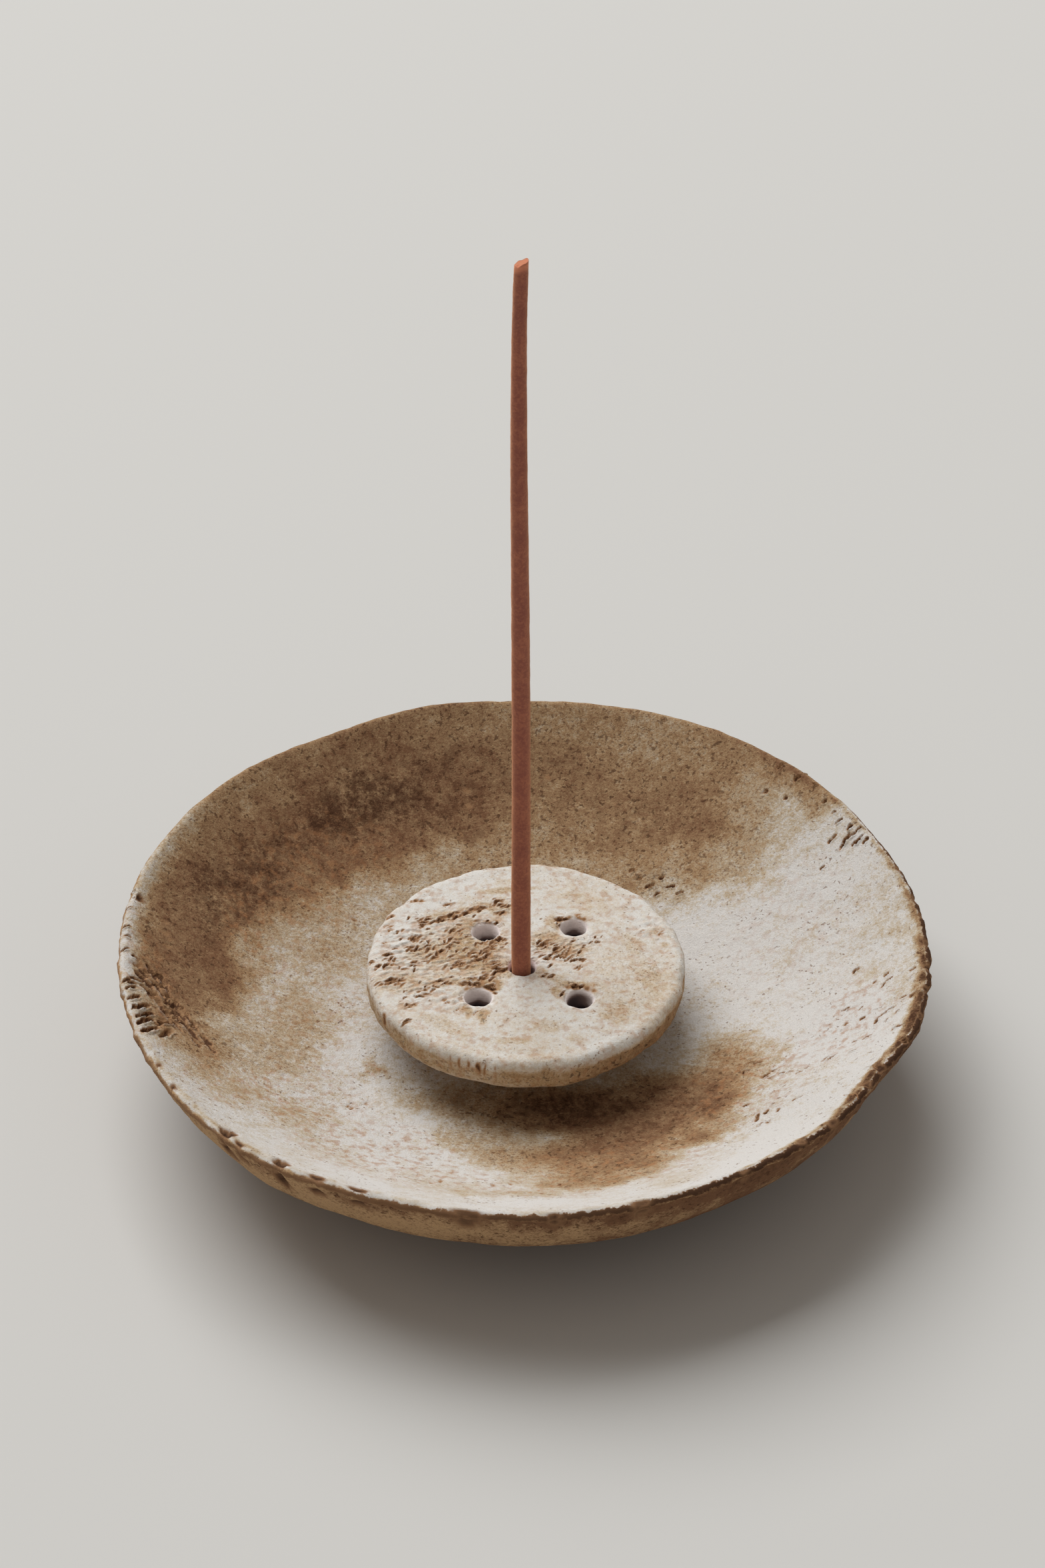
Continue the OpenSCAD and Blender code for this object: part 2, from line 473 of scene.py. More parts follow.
class Bowl:
    """The curve of the dish in millimetres: a flat seat, then a power of the way out."""

    def __init__(self, dish):
        self.dish = dish
        self.radius = DISH_HIGH.x / MM
        self.height = DISH_HIGH.z / MM
        rim = dish.rim / MM / 2
        slope = dish.rim_slope
        self.rim_radius = rim
        self.rim_centre = (self.radius - rim, self.height - rim)
        self.seat = dish.seat / MM
        self.lip = (
            self.rim_centre[0] - rim * math.sin(slope),
            self.rim_centre[1] + rim * math.cos(slope),
        )
        self.rise = self.lip[1] - SEAT_HEIGHT
        self.run = self.lip[0] - self.seat
        self.power = math.tan(slope) * self.run / self.rise

    def inside(self, way):
        """A point of the inside, from the seat's edge at 0 to the rim at 1."""
        return self.seat + self.run * way, SEAT_HEIGHT + self.rise * way**self.power

    def outside(self, way):
        """The point of the outside that lies square below inside(way)."""
        dish = self.dish
        x, z = self.inside(way)
        slope = math.atan(self.power * self.rise / self.run * way ** (self.power - 1))
        full = (dish.floor + (dish.wall - dish.floor) * way) / MM
        left = math.hypot(self.lip[0] - x, self.lip[1] - z)
        taper = dish.taper / MM
        if left < taper:
            full -= (full - dish.rim / MM) * (1 - left / taper) ** TAPER_POWER
        return x + full * math.sin(slope), z - full * math.cos(slope)

    def outline(self):
        """The whole outline, from the middle of the floor over the rim to the underside."""
        dish = self.dish
        degrees = math.degrees(dish.rim_slope)
        seat = [(self.seat * step / 3, SEAT_HEIGHT) for step in range(3)]
        shares = np.linspace(0, 1, INSIDE_STEPS + 1)
        inside = [self.inside(share + CROWDING * share * (1 - share)) for share in shares]
        rim = arc(self.rim_centre, self.rim_radius, 90 + degrees, degrees - 90, RIM_STEPS)
        outer_foot = dish.foot_ring / MM / 2
        inner_foot = outer_foot - dish.foot_width / MM
        under = dish.foot_height / MM
        corner = 0.9
        steps = [(step + 1) / OUTSIDE_STEPS for step in range(OUTSIDE_STEPS)]
        wall = [self.outside(1 - step**1.3) for step in steps]
        wall = [point for point in wall if point[0] > outer_foot + 0.8]
        foot = [(outer_foot + 0.2, wall[-1][1] - 0.7)]
        foot += arc((outer_foot - corner, corner), corner, 0, -90, 4)
        foot += arc((inner_foot + corner, corner), corner, -90, -180, 4)
        foot += arc((inner_foot - corner, under - corner), corner, 0, 90, 3)
        floor = [(inner_foot * share, under) for share in (0.6, 0.2)]
        return seat + inside + rim[1:-1] + wall + foot + floor + [(0.0, under)]

    def across_rim(self, points, normals):
        """How far a point lies across the rounded rim: 0 inside, 1 outside."""
        out = np.hypot(points[:, 0], points[:, 1]) - self.rim_centre[0]
        high = points[:, 2] - self.rim_centre[1]
        inner = 90 + math.degrees(self.dish.rim_slope)
        share = np.clip((inner - np.degrees(np.arctan2(high, out))) / 180, 0, 1)
        beside = np.where(normals[:, 2] < 0, 1.0, 0.0)
        return np.where(np.hypot(out, high) < 1.3 * self.rim_radius, share, beside)


# Where the hand-made rim strays from a true circle: (degree, outwards, upwards), in mm
RIM_STRAYS = (
    (0, 0.1, 0), (22, -0.5, 0.1), (40, 0.1, 0.1), (65, 0.5, 0.35), (82, 0.1, 0.2), (95, 0.1, 0.1),
    (105, 0.3, 0.5), (118, -0.3, -0.2), (137, 0.1, 0.1), (165, -0.3, -0.1), (185, -0.8, -0.2),
    (205, -0.7, -0.1), (232, 0.2, 0.1), (246, -0.6, 0.1), (275, -0.2, 0), (305, -0.4, 0.1), (318, 0, 0),
    (329, -0.8, 0.2), (341, 0.5, -0.1), (355, 0.3, 0),
)

# Chips out of the rim: (degree, radius, half length, half width, depth)
RIM_CHIPS = (
    (170, 53.4, 0.8, 0.5, 0.4), (209, 54.2, 0.6, 0.5, 0.3), (214.2, 54.3, 0.7, 0.5, 0.4),
    (226.3, 53.7, 1.3, 1.1, 0.9), (229.4, 54.3, 0.9, 0.5, 0.4), (236.1, 53.7, 1.2, 1, 0.9),
    (241.8, 54.2, 1.4, 0.6, 0.4), (247.8, 54.2, 1.6, 0.5, 0.35), (263, 54.6, 2.6, 0.6, 0.25),
    (274.5, 54.7, 1, 0.5, 0.3), (286, 54.6, 1.6, 0.6, 0.25), (301, 54.6, 0.75, 0.6, 0.18),
    (311, 54.4, 0.68, 0.6, 0.24), (317, 54.4, 1.05, 0.7, 0.3), (326, 54.2, 0.68, 0.8, 0.36),
    (330, 54.2, 0.98, 0.9, 0.42), (337, 54.4, 0.75, 0.7, 0.24), (343, 54.5, 0.52, 0.6, 0.3),
    (349, 54.5, 0.75, 0.7, 0.36), (353.5, 54.5, 0.75, 0.9, 0.42), (359, 54.6, 1.05, 0.6, 0.24),
    (5, 54.6, 0.75, 0.6, 0.24), (9, 54.6, 1.2, 0.5, 0.18), (16, 54.5, 0.9, 0.6, 0.24),
)

# How the rim looks round the dish: (degree, darkness of its bare edge, brownness of the
# fringe inside it, width of that fringe, brownness of the wall below it, paleness of the
# last 3 mm inside it)
RIM_LOOKS = (
    (0, 1, 0.9, 1.3, 0.5, 0), (12, 0.95, 0.8, 1.1, 0.5, 0), (25, 0.85, 0.5, 1.1, 0.4, 0),
    (40, 0.5, 0.42, 1.2, 0.3, 0), (60, 0.15, 0.1, 1, 0.3, 0), (100, 0.1, 0.1, 1, 0.3, 0),
    (140, 0.1, 0.1, 1, 0.3, 0.1), (158, 0.15, 0.05, 1, 0.2, 0.6), (175, 0.3, 0, 1, 0.1, 1),
    (200, 0.35, 0.05, 1, 0, 1), (212, 0.4, 0.2, 0.9, -0.1, 0.4), (225, 0.42, 0.35, 0.9, -0.25, 0.2),
    (240, 0.46, 0.3, 0.8, -0.2, 0.2), (255, 0.6, 0.15, 0.7, -0.08, 0.4), (280, 0.9, 0.15, 0.8, 0.2, 0.6),
    (300, 1, 0.35, 1, 0.65, 0.5), (315, 1, 0.94, 1.5, 0.75, 0.2), (330, 1, 1.1, 1.9, 0.6, 0),
    (345, 1, 1.1, 2, 0.6, 0),
)

# Strokes and nicks cut by a knife: (x, y, half length, half width, turn, depth)
KNIFE_MARKS = (
    # Comb across the left of the rim
    (-52, -12, 1, 0.32, 56, 0.5), (-51, -13.5, 1.5, 0.34, 57, 0.6), (-50.3, -14.9, 1.6, 0.34, 59, 0.6),
    (-50.2, -16.5, 1.4, 0.34, 63, 0.6), (-49.4, -18, 1.6, 0.36, 63, 0.6), (-47.4, -17, 1.6, 0.42, 69, 0.5),
    (-52.6, -10.2, 0.8, 0.28, 50, 0.4),
    # Strands that run down from it
    (-51.2, -7, 1.2, 0.41, -38, 0.45), (-50.3, -4.3, 1.3, 0.43, -59, 0.45),
    (-48.9, -4.7, 1.2, 0.47, -61, 0.45), (-49, -10.5, 1.9, 0.47, -54, 0.5),
    (-50.5, -9.3, 1.2, 0.41, -50, 0.4), (-47.6, -12.4, 1.5, 0.47, -50, 0.4),
    (-46.2, -9.5, 1.9, 0.51, -68, 0.45), (-44.8, -13.2, 1.8, 0.51, -48, 0.4),
    (-42, -14.8, 1.8, 0.51, -60, 0.28), (-51.6, -5.2, 0.8, 0.29, -40, 0.4), (-50.6, -6, 1, 0.29, -45, 0.4),
    (-49.6, -7, 1, 0.31, -50, 0.45), (-48.8, -8.2, 1.2, 0.31, -50, 0.45), (-48, -6.6, 1, 0.29, -60, 0.4),
    (-47.4, -8.8, 1.4, 0.31, -60, 0.45), (-46.6, -11, 1.4, 0.33, -60, 0.45),
    (-45.4, -9.4, 1.2, 0.29, -62, 0.35), (-44.4, -11.4, 1.4, 0.31, -60, 0.35),
    (-47.8, -14.4, 1, 0.33, 40, 0.45), (-46.4, -13.6, 1, 0.31, -50, 0.4), (-43.6, -15.8, 1, 0.31, -50, 0.3),
    (-52.2, -7.8, 0.7, 0.31, 20, 0.35), (-52.5, -9, 0.7, 0.31, 35, 0.35),
    # Nicks on the left of the crest
    (-53.7, 10.5, 0.5, 0.22, 10, 0.35), (-54, 6.5, 0.5, 0.22, 30, 0.35), (-54.2, 2.4, 0.6, 0.24, 20, 0.4),
    (-53.8, 0.6, 0.4, 0.22, 10, 0.35), (-54, -2.2, 0.6, 0.24, 40, 0.4), (-52.6, -3, 0.5, 0.24, -20, 0.3),
    (-53.3, -9, 0.7, 0.24, 50, 0.35),
    # Nicks at the right of the rim
    (46.5, 25.4, 0.5, 0.24, 10, 0.4), (45.7, 23.6, 1, 0.24, 53, 0.5), (46.7, 23.9, 0.6, 0.24, 20, 0.45),
    (47.5, 22.7, 0.8, 0.24, 25, 0.5), (47.7, 24.4, 0.4, 0.22, 10, 0.4), (48.5, 22, 0.4, 0.22, 20, 0.4),
    (45, 27.1, 0.4, 0.22, 10, 0.4), (44.3, 28.8, 0.3, 0.22, 10, 0.35), (43, 31, 0.4, 0.22, 0, 0.4),
    (43.9, 24.9, 0.6, 0.2, 30, 0.3), (42.5, 21.1, 0.3, 0.2, 10, 0.3), (42, 34.2, 0.5, 0.26, -34, 0.5),
    (37.4, 38.8, 0.7, 0.24, 20, 0.35), (39.3, 36, 0.5, 0.24, 10, 0.35), (37.7, 34.1, 0.3, 0.22, 10, 0.25),
    (34.9, 36, 0.4, 0.22, 22, 0.25), (40.4, 37, 0.5, 0.24, 10, 0.35),
    # Nicks on the right wall
    (45.4, 0, 0.5, 0.2, 30, 0.24), (48.9, -5.3, 0.8, 0.2, 35, 0.28), (49, -3.8, 0.3, 0.2, 30, 0.24),
    (47.5, -4, 0.3, 0.18, 56, 0.2), (50.5, -10.3, 0.5, 0.18, -20, 0.18), (51.7, -10.8, 0.5, 0.24, 22, 0.34),
    (52.3, -5.5, 0.4, 0.2, 0, 0.24), (47.1, -12.4, 0.8, 0.2, 50, 0.3), (48.5, -11.6, 0.9, 0.18, 20, 0.26),
    (43.6, -7.2, 0.3, 0.2, 30, 0.3), (45.3, -8.3, 0.3, 0.18, 20, 0.2), (45.2, -10.7, 0.3, 0.18, 20, 0.2),
    (45.5, -15.6, 0.5, 0.2, 10, 0.3), (43.6, -17.7, 0.4, 0.22, 10, 0.32),
    (43.1, -10.4, 0.3, 0.18, 30, 0.22), (49, -16.6, 0.6, 0.18, 30, 0.26),
    (50.1, -16.9, 0.8, 0.18, -20, 0.26), (49.5, -12.8, 0.3, 0.2, 24, 0.26), (48, -13.7, 0.4, 0.2, 46, 0.26),
    (43.9, -15.3, 0.3, 0.18, 0, 0.2), (46.1, -23.2, 0.3, 0.18, 15, 0.2), (46, -25.9, 1, 0.18, -50, 0.34),
    (50, -20.9, 0.6, 0.2, 0, 0.34), (42.7, -31.8, 1, 0.18, -50, 0.3), (40.3, -17, 0.6, 0.2, 41, 0.24),
    (41.1, -17.3, 0.7, 0.2, 42, 0.24),
    # Torn places at the lower right
    (31.7, -13, 0.6, 0.24, 30, 0.34), (31, -12.5, 0.4, 0.2, 16, 0.26), (29.9, -14.4, 0.5, 0.28, 59, 0.34),
    (32.8, -16.5, 0.6, 0.24, 45, 0.3), (33.5, -17.4, 0.4, 0.22, 40, 0.3), (33.8, -15.7, 0.4, 0.2, 30, 0.26),
    (34.8, -17, 0.4, 0.2, 5, 0.26), (35.8, -17.4, 0.3, 0.2, 0, 0.22), (37, -18.4, 0.3, 0.2, 29, 0.26),
    (30.9, -27, 1, 0.24, 76, 0.3), (31.1, -29.6, 0.5, 0.24, 58, 0.28), (32.2, -26.4, 0.5, 0.24, 64, 0.26),
    (32.3, -29.2, 0.5, 0.22, 57, 0.26), (33.2, -25, 0.4, 0.22, 43, 0.26),
    (33.6, -26.9, 0.5, 0.22, 64, 0.24), (29.8, -22.9, 0.4, 0.22, 26, 0.22),
    (36.4, -25.8, 0.7, 0.2, 15, 0.2), (20.5, -29.1, 0.5, 0.24, 36, 0.24),
    # Torn places at the near and far sides
    (6, -36.8, 0.8, 0.26, 15, 0.3), (8.5, -37.6, 0.9, 0.26, 20, 0.34), (11.5, -36.4, 0.8, 0.26, 30, 0.34),
    (13.5, -35.2, 0.6, 0.24, 25, 0.28), (9.6, -39.4, 0.5, 0.24, 10, 0.26), (5, -39.2, 0.4, 0.24, 80, 0.2),
    (16.8, 27.6, 0.5, 0.26, 10, 0.3), (18.4, 26.2, 0.6, 0.26, 15, 0.34), (20, 27.2, 0.5, 0.24, 10, 0.3),
    (21.2, 25.6, 0.6, 0.26, 0, 0.34), (19.4, 24.6, 0.5, 0.24, 10, 0.3), (22.4, 24.2, 0.5, 0.24, 20, 0.3),
    (15.8, 29.2, 0.4, 0.24, 20, 0.26),
)

# Brown wash brushed round the inside as the dish turned: (first degree, last degree,
# inner radius, outer radius, strength)
DISH_BANDS = (
    (100, 137, 34, 60, 0.6), (137, 186, 38.5, 60, 0.6), (50, 104, 27, 60, 0.46), (104, 150, 31, 50, 0.34),
    (150, 186, 40, 50, 0.3), (120, 190, 18, 44, 0.24), (60, 130, 16, 30, 0.16), (184, 200, 43, 52, 0.34),
    (36, 58, 33, 60, 0.28), (278, 328, 17, 33, 0.34), (195, 272, 17, 44, 0.06), (185, 225, 24, 46, 0.03),
)

# Brown wash on the inside, and painted shadow of the disc under the front of its overhang
DISH_STAINS_AND_SHADE = (
    (-22, 37, 20, 9, 32, 0.24), (-3, 44, 15, 6, 0, 0.1), (15, 40, 12, 6, -25, 0.16),
    (8, 31, 9, 5, -10, 0.14), (28, 28, 9, 5, -40, 0.2), (-35, 21, 12, 6, 62, 0.22),
    (-46, 8, 12, 4, 84, 0.26), (-47, -8, 8, 4, 100, 0.16), (-50, -8, 6, 2.5, 100, 0.08),
    (-44, -14, 7, 4, 112, 0.24), (-38, -18, 6, 4, 112, 0.1), (-30, 12, 7, 4, 40, 0.12),
    (-30, -7, 5, 9, 0, 0.14), (-42, -21, 8, 4, 115, 0.24), (-35, -13, 6, 4, 120, 0.17),
    (-32, -27, 10, 5, 40, 0.08), (30, -10, 6, 5, 75, 0.24), (25, -16, 8, 6, 50, 0.4),
    # (5, -20) on this row and (0, -17) on the next paint the disc's shadow under its overhang, over the
    # stain
    (25, -24, 7, 5, 55, 0.3), (18, -21, 10, 6, 20, 0.46), (5, -20, 10, 4.5, 0, 0.44),
    (0, -17, 11, 5, 0, 0.4), (17, -28, 7, 6, 30, 0.5), (0, -31, 6, 3, 0, 0.28), (4, -36, 6, 2.5, 10, 0.14),
    (10, -31, 8, 5, 10, 0.36), (12, -37, 8, 4, 15, 0.48), (-5, -26, 7, 4, -25, 0.22),
    (40, 36, 8, 2.5, -45, 0.34), (43, -3, 6, 4, 80, 0.1), (-30, -26, 8, 5, 30, 0.05),
    (-12, -38, 6, 4, -20, 0.12), (-2, -43, 6, 2.5, 0, 0.14), (34, 14, 5, 8, 10, 0.1),
    (-19, -10.5, 1.3, 2.4, 20, 0.5), (-20.5, -13.5, 0.8, 1.2, 20, 0.4),
)

# Places where thick slip covers the wash
DISH_SLIPS = (
    (-21, 26, 5, 3, 50, 0.45), (-14, 32, 6, 2.5, 15, 0.5), (-23, 0, 5, 9, 0, 0.55),
    (-34, 9, 7, 12, 5, 0.34), (-31, 20, 7, 6, 45, 0.32), (-31, -22, 9, 7, 40, 0.2),
    (-20, 27, 13, 5, 40, 0.24), (8, 30, 8, 3, 0, 0.3), (-36, 36, 8, 2, 45, 0.25),
    (-12, 49, 9, 2.5, 10, 0.25), (25, 27, 7, 5, -40, 0.36), (36, 36, 5, 3, -45, 0.3),
    (-22, -12, 6, 5, 120, 0.45), (26, 10, 8, 12, 0, 0.8), (38, 8, 9, 19, 0, 0.75),
    (44, -14, 6, 13, 15, 0.85), (-34, -34, 10, 5, -42, 0.5), (0, -49, 34, 5, 0, 0.4),
    (37, -36, 15, 6, 45, 0.8), (-12, -34, 12, 5, -20, 0.5), (-18, -22, 8, 5, -50, 0.7),
)

# Darkest places of the stain, and painted shadow of the disc under the front of its overhang
DISH_IRONS_AND_SHADE = (
    (-24, 37, 8, 4, 30, 0.8), (-37, 20, 8, 4, 60, 0.55), (-14, 42, 10, 3, 12, 0.38),
    # (7, -19) and (0, -17) on this row are painted shadow under the disc's overhang
    (7, -19, 9, 3.5, 5, 0.5), (0, -17, 10, 4, 0, 0.45), (-28, 33.5, 2, 1.8, 0, 0.6),
    (-20, 40, 5, 3, 20, 0.55), (-13, 46.5, 3, 2, 20, 0.35), (-8, 47.5, 2.6, 1.8, 0, 0.18),
    (-6, 36, 3, 1.6, 0, 0.35), (-12, 37, 4, 2, 20, 0.4), (-2, 44, 2, 2, 0, 0.25), (4, 45, 3, 2, 0, 0.3),
    (-35, 27, 6, 3, 60, 0.4), (-42.5, 17, 7, 3.5, 75, 0.75), (-45, 6, 5, 2.5, 90, 0.22),
    (-48, -8, 5, 2, 110, 0.4), (10, 38, 5, 3, 0, 0.2), (19, 26.5, 4, 2, -25, 0.3),
    (19, -24, 7, 4, 30, 0.35), (25, -20, 3, 2, 50, 0.3), (10, -37, 4, 1.6, 20, 0.45),
    (17, 37, 3, 2, 0, 0.4),
)

# Orange-brown spots: zones where they gather
DISH_RUSTS = (
    (-19.3, -11, 1.8, 2.4, 0, 1), (-18, -32, 16, 9, -30, 0.85), (-30, -18, 10, 8, 60, 0.6),
    (10, -36, 16, 7, 15, 0.9), (30, -18, 10, 8, 60, 0.9), (44, -10, 8, 5, 75, 0.85),
    (38, 12, 10, 14, 0, 0.35), (-30, 24, 14, 8, 45, 0.7), (-38, 13, 5, 4, 70, 0.9),
    (-30, 2, 10, 10, 0, 0.6), (-38, -22, 8, 6, 40, 0.7), (-51, -8, 4, 14, 10, 0.75),
)

# Clusters of small pits inside the dish: (x, y, spread along, spread across, turn, pits,
# half length of a pit, how far round the pits are turned)
DISH_PITS = (
    (-3, -40, 12, 4, 0, 8, 0.4, 80), (-21, -22, 8, 5, 60, 8, 0.35, 60), (-30, 14, 10, 6, 60, 10, 0.35, 40),
    (0, 42, 22, 5, 0, 12, 0.4, 0), (-49, 6, 9, 1.2, 85, 9, 0.5, 0),
    (-50.5, -6.5, 3.4, 1.6, -55, 12, 0.6, 15), (-47.6, -9.5, 4, 1.6, -60, 14, 0.6, 15),
    (-45.6, -12.6, 3.4, 1.6, -55, 8, 0.5, 15), (-50.6, -14, 1.6, 3.2, 60, 8, 0.5, 10),
)


def rim_dents():
    """The chips out of the rim, as dents."""
    dents = []
    for degree, at, along, across, depth in RIM_CHIPS:
        a = math.radians(degree)
        dents.append((at * math.cos(a), at * math.sin(a), across, along, degree, depth))
    return dents


def on_inside(middles):
    """Which places lie on the dish's inside, and not below its wall."""
    out = np.hypot(middles[:, 0], middles[:, 1])
    return (middles[:, 2] > SEAT_HEIGHT) & (middles[:, 2] > 0.30 * out - 1.5)


def refine_marks(piece):
    """A finer mesh wherever a knife has marked the dish."""
    for margin in MARK_MARGINS:
        places = [
            (x, y, along + margin, across + margin, turn)
            for x, y, along, across, turn, _ in KNIFE_MARKS
        ]
        refine(piece, on_inside, places)


def sculpt_dish(piece, dish, bowl):
    """Moves the points of the turned dish as hands, a knife and wear have done."""
    mesh = piece.data
    points, normals = points_and_normals(mesh)
    out, around = polar(points)
    degrees = np.degrees(around)
    high = points[:, 2]
    lip = bowl.across_rim(points, normals)
    inside = lip < 0.6
    near_rim = ease(out, bowl.seat + 10, bowl.radius - 2)
    crest = ease(out, bowl.radius - 4.5, bowl.radius - 0.8) * ease(high, 15.5, 20.0)
    looks = (ring_value(degrees, RIM_LOOKS, column) for column in range(1, 6))
    edge, brown, width, wall, pale = looks

    push = near_rim * ring_value(degrees, RIM_STRAYS, 1)
    moved = points.copy()
    moved[:, 0] += push * np.cos(around)
    moved[:, 1] += push * np.sin(around)
    moved[:, 2] += near_rim**2 * ring_value(degrees, RIM_STRAYS, 2)

    lumps = dish.lumps / MM
    relief = lumps * rough(points, 8.0, 1) + 0.5 * lumps * rough(points, 2.6, 2)
    relief += 0.06 * np.sin(out * 1.9 + 1.5 * rough(points, 20.0, 3)) * (~inside)
    near = ease(points[:, 1], 30.0, 5.0)
    relief += crest * (0.10 + 0.10 * near) * rough(points, 1.9, 4)
    relief += crest * near * ease(lip, 0.2, 0.6) * 0.22 * rough(points, 1.1, 7)
    relief *= ease(high, 0.3, 2.5)

    pits = hollows(points, scattered(DISH_PITS, 11, 0.30), 0.3, 0.9, 6) * inside
    marks, ridges = (part * inside for part in scraped(points, KNIFE_MARKS, 0.26, 0.9, 9))
    cuts = hollows(points, rim_dents(), 0.35, 1.0, 8) * ease(high, 14.0, 17.0)
    moved += normals * (relief + 0.5 * ridges - pits - marks - cuts)[:, None]
    move_points(mesh, moved)

    drift = wander(points, 5.0, 21) + 0.5 * wander(points, 2.0, 23)
    strayed = points + 2.0 * drift
    cover = paint(strayed, DISH_SLIPS)
    wash_and_painted_light = bands(points + 3.0 * drift, DISH_BANDS) + paint(points + 2.2 * drift, DISH_STAINS_AND_SHADE)
    from_edge = bowl.radius - out + 0.5 * rough(points, 2.4, 25) + 0.3 * rough(points, 0.9, 26)
    wash_and_painted_light *= (1 - 0.75 * cover) * (1 - pale * ease(from_edge, 3.3, 1.3))
    broken = np.clip(0.85 + 0.8 * rough(points, 1.4, 27), 0, 1.2)
    fringe = brown * broken * ease(from_edge, width + 0.7, width - 0.4) * ease(lip, 0.34, 0.10)
    wash_and_painted_light = wash_and_painted_light + fringe - WASH_BASE * cover
    burnt = brown * broken * ease(brown, 0.4, 0.9)
    burnt *= ease(from_edge, 0.75 * width + 0.4, 0.75 * width - 0.4)
    below = 0.1 + wall + 0.5 * rough(points, 5.0, 29) + 0.4 * rough(points, 1.7, 30)
    # Painted shade: the outer wall darkens towards its bottom, where it turns under
    below += 0.7 * ease(high, 14.5, 9.0)
    below += 0.8 * edge * ease(high + 0.9 * rough(points, 2.0, 28), 17.2, 20.4)
    ragged = lip + 0.16 * rough(points, 1.8, 51) + 0.12 * rough(points, 0.8, 52)
    # wash and iron carry painted shade as well as stain: the disc's shadow on the floor, and the darkening
    # at the bottom of the outer wall
    store(
        mesh,
        wash=WASH_BASE + np.where(inside, wash_and_painted_light, 0.6 * below),
        iron=(paint(strayed, DISH_IRONS_AND_SHADE, 0.85) + 1.6 * burnt) * inside,
        rust=paint(strayed, DISH_RUSTS) * inside,
        hollow=pits / 0.35 + marks / 0.17,
        nick=cuts / 0.32,
        # White on the viewer's side of the scraped ridges at the left, partly painted highlight
        chalk=0.35 * ridges * ease(points[:, 0], -30.0, -42.0),
        grain=1 - 0.5 * ease(points[:, 1], -24.0, -44.0) * inside,
        lip=lip,
        edge=edge,
        outside=ease(ragged, 0.42, 0.56),
    )


def build_dish(dish):
    """The dish as one turned and sculpted mesh."""
    bowl = Bowl(dish)
    piece = as_object("clay_dish", spun(bowl.outline(), dish.turns))
    refine_marks(piece)
    sculpt_dish(piece, dish, bowl)
    return piece


# ---- Stick holder ----

HOLDER_TURNS = 160
HOLE_TURNS = 48
# How far down the disc's mesh is refined, and refined again where it is torn
FINE_DEPTH = 1.4
FINER_DEPTH = 0.7
# Room left round the torn places and the holes there, and the smallest tears that count
TORN_MARGIN = 1.2
HOLE_MARGIN = 1.0
LEAST_TEAR = 0.45

# Clusters of torn scoops on the disc's top, from its centre: (x, y, spread along, spread
# across, turn, scoops, half length of a scoop, how far round the scoops are turned)
TORN_CLUSTERS = (
    (-10.5, 2.5, 8.5, 7, 15, 46, 0.5, 25), (4.5, 2.6, 4, 3, 15, 10, 0.46, 40),
    (-14.3, 13.2, 2.4, 0.5, 18, 7, 0.44, 20), (-10.6, 12.2, 0.8, 0.6, 0, 4, 0.44, 30),
    (-7.6, 11.2, 3.2, 0.6, 20, 14, 0.6, 25), (-10.8, 9.6, 3.4, 0.7, 18, 15, 0.6, 25),
    (-14.4, 8.9, 1.4, 1, -20, 8, 0.55, 40), (-3.4, 12.6, 1.4, 1.6, 60, 9, 0.6, 40),
    (-3.4, 10.6, 0.8, 0.6, 0, 4, 0.68, 20), (-9.4, 6.6, 1.2, 1.8, 60, 8, 0.52, 50),
    (-18.6, 6.6, 1.6, 1.6, 0, 7, 0.44, 50), (-15.4, 5, 2.2, 1.2, 10, 11, 0.52, 40),
    (-16.2, 2.6, 2.6, 1.4, 10, 11, 0.55, 40), (-11.6, 3, 2.6, 2.2, 0, 18, 0.55, 60),
    (-18.6, -0.6, 1.8, 1.8, 15, 12, 0.55, 40), (-15.4, -0.6, 1.8, 1.6, 10, 9, 0.52, 40),
    (-17.8, -4.2, 2.4, 1.6, 20, 14, 0.55, 35), (-14.6, -6.4, 1.8, 1.4, 10, 8, 0.52, 30),
    (-11.4, -4.4, 1.8, 0.9, 15, 7, 0.49, 25), (-9, -0.8, 2.2, 1.2, 10, 8, 0.55, 25),
    (-5.4, 3.6, 2.4, 1.8, 10, 22, 0.6, 40), (-5.6, 0.8, 2.2, 1.8, 0, 20, 0.6, 35),
    (-3.4, -1.6, 1.2, 1, 20, 8, 0.78, 30), (-5.6, -3.2, 1.6, 0.9, 20, 8, 0.6, 30),
    (2.6, 3.8, 2.2, 1.8, 20, 18, 0.52, 50), (5.4, 2.6, 2.2, 1.4, 15, 15, 0.55, 45),
    (3.2, 1, 1.8, 1, 10, 9, 0.55, 40), (6.8, 0.8, 1.4, 1, 10, 7, 0.52, 40),
    (9.2, 4.8, 1.2, 0.8, 15, 5, 0.49, 40), (7.4, -1.4, 0.5, 0.7, 60, 4, 0.44, 60),
    (2.5, -2.8, 1, 0.5, 0, 3, 0.52, 10), (-15.8, -9.3, 1.2, 0.8, 0, 4, 0.52, 20),
    (-10.6, -7.8, 2.4, 1.2, 0, 4, 0.44, 10), (-15.8, -12.3, 0.6, 0.4, 10, 3, 0.52, 10),
    (17.4, 6.8, 2.2, 2.5, 10, 5, 0.31, 20), (-8, -9, 4, 2, 0, 5, 0.31, 40),
)

# Places inside the holes painted dark as shade
HOLE_SHADES = (
    (6.7, -7, 1.6, 1.6, 0, 0.95), (-6.6, -7.6, 0.9, 0.8, 0, 0.85), (-5.6, 6.6, 1, 0.5, 0, 0.75),
    (7.2, 6.2, 0.8, 0.4, 0, 0.45), (-0.5, -0.9, 2, 2, 0, 0.95),
)

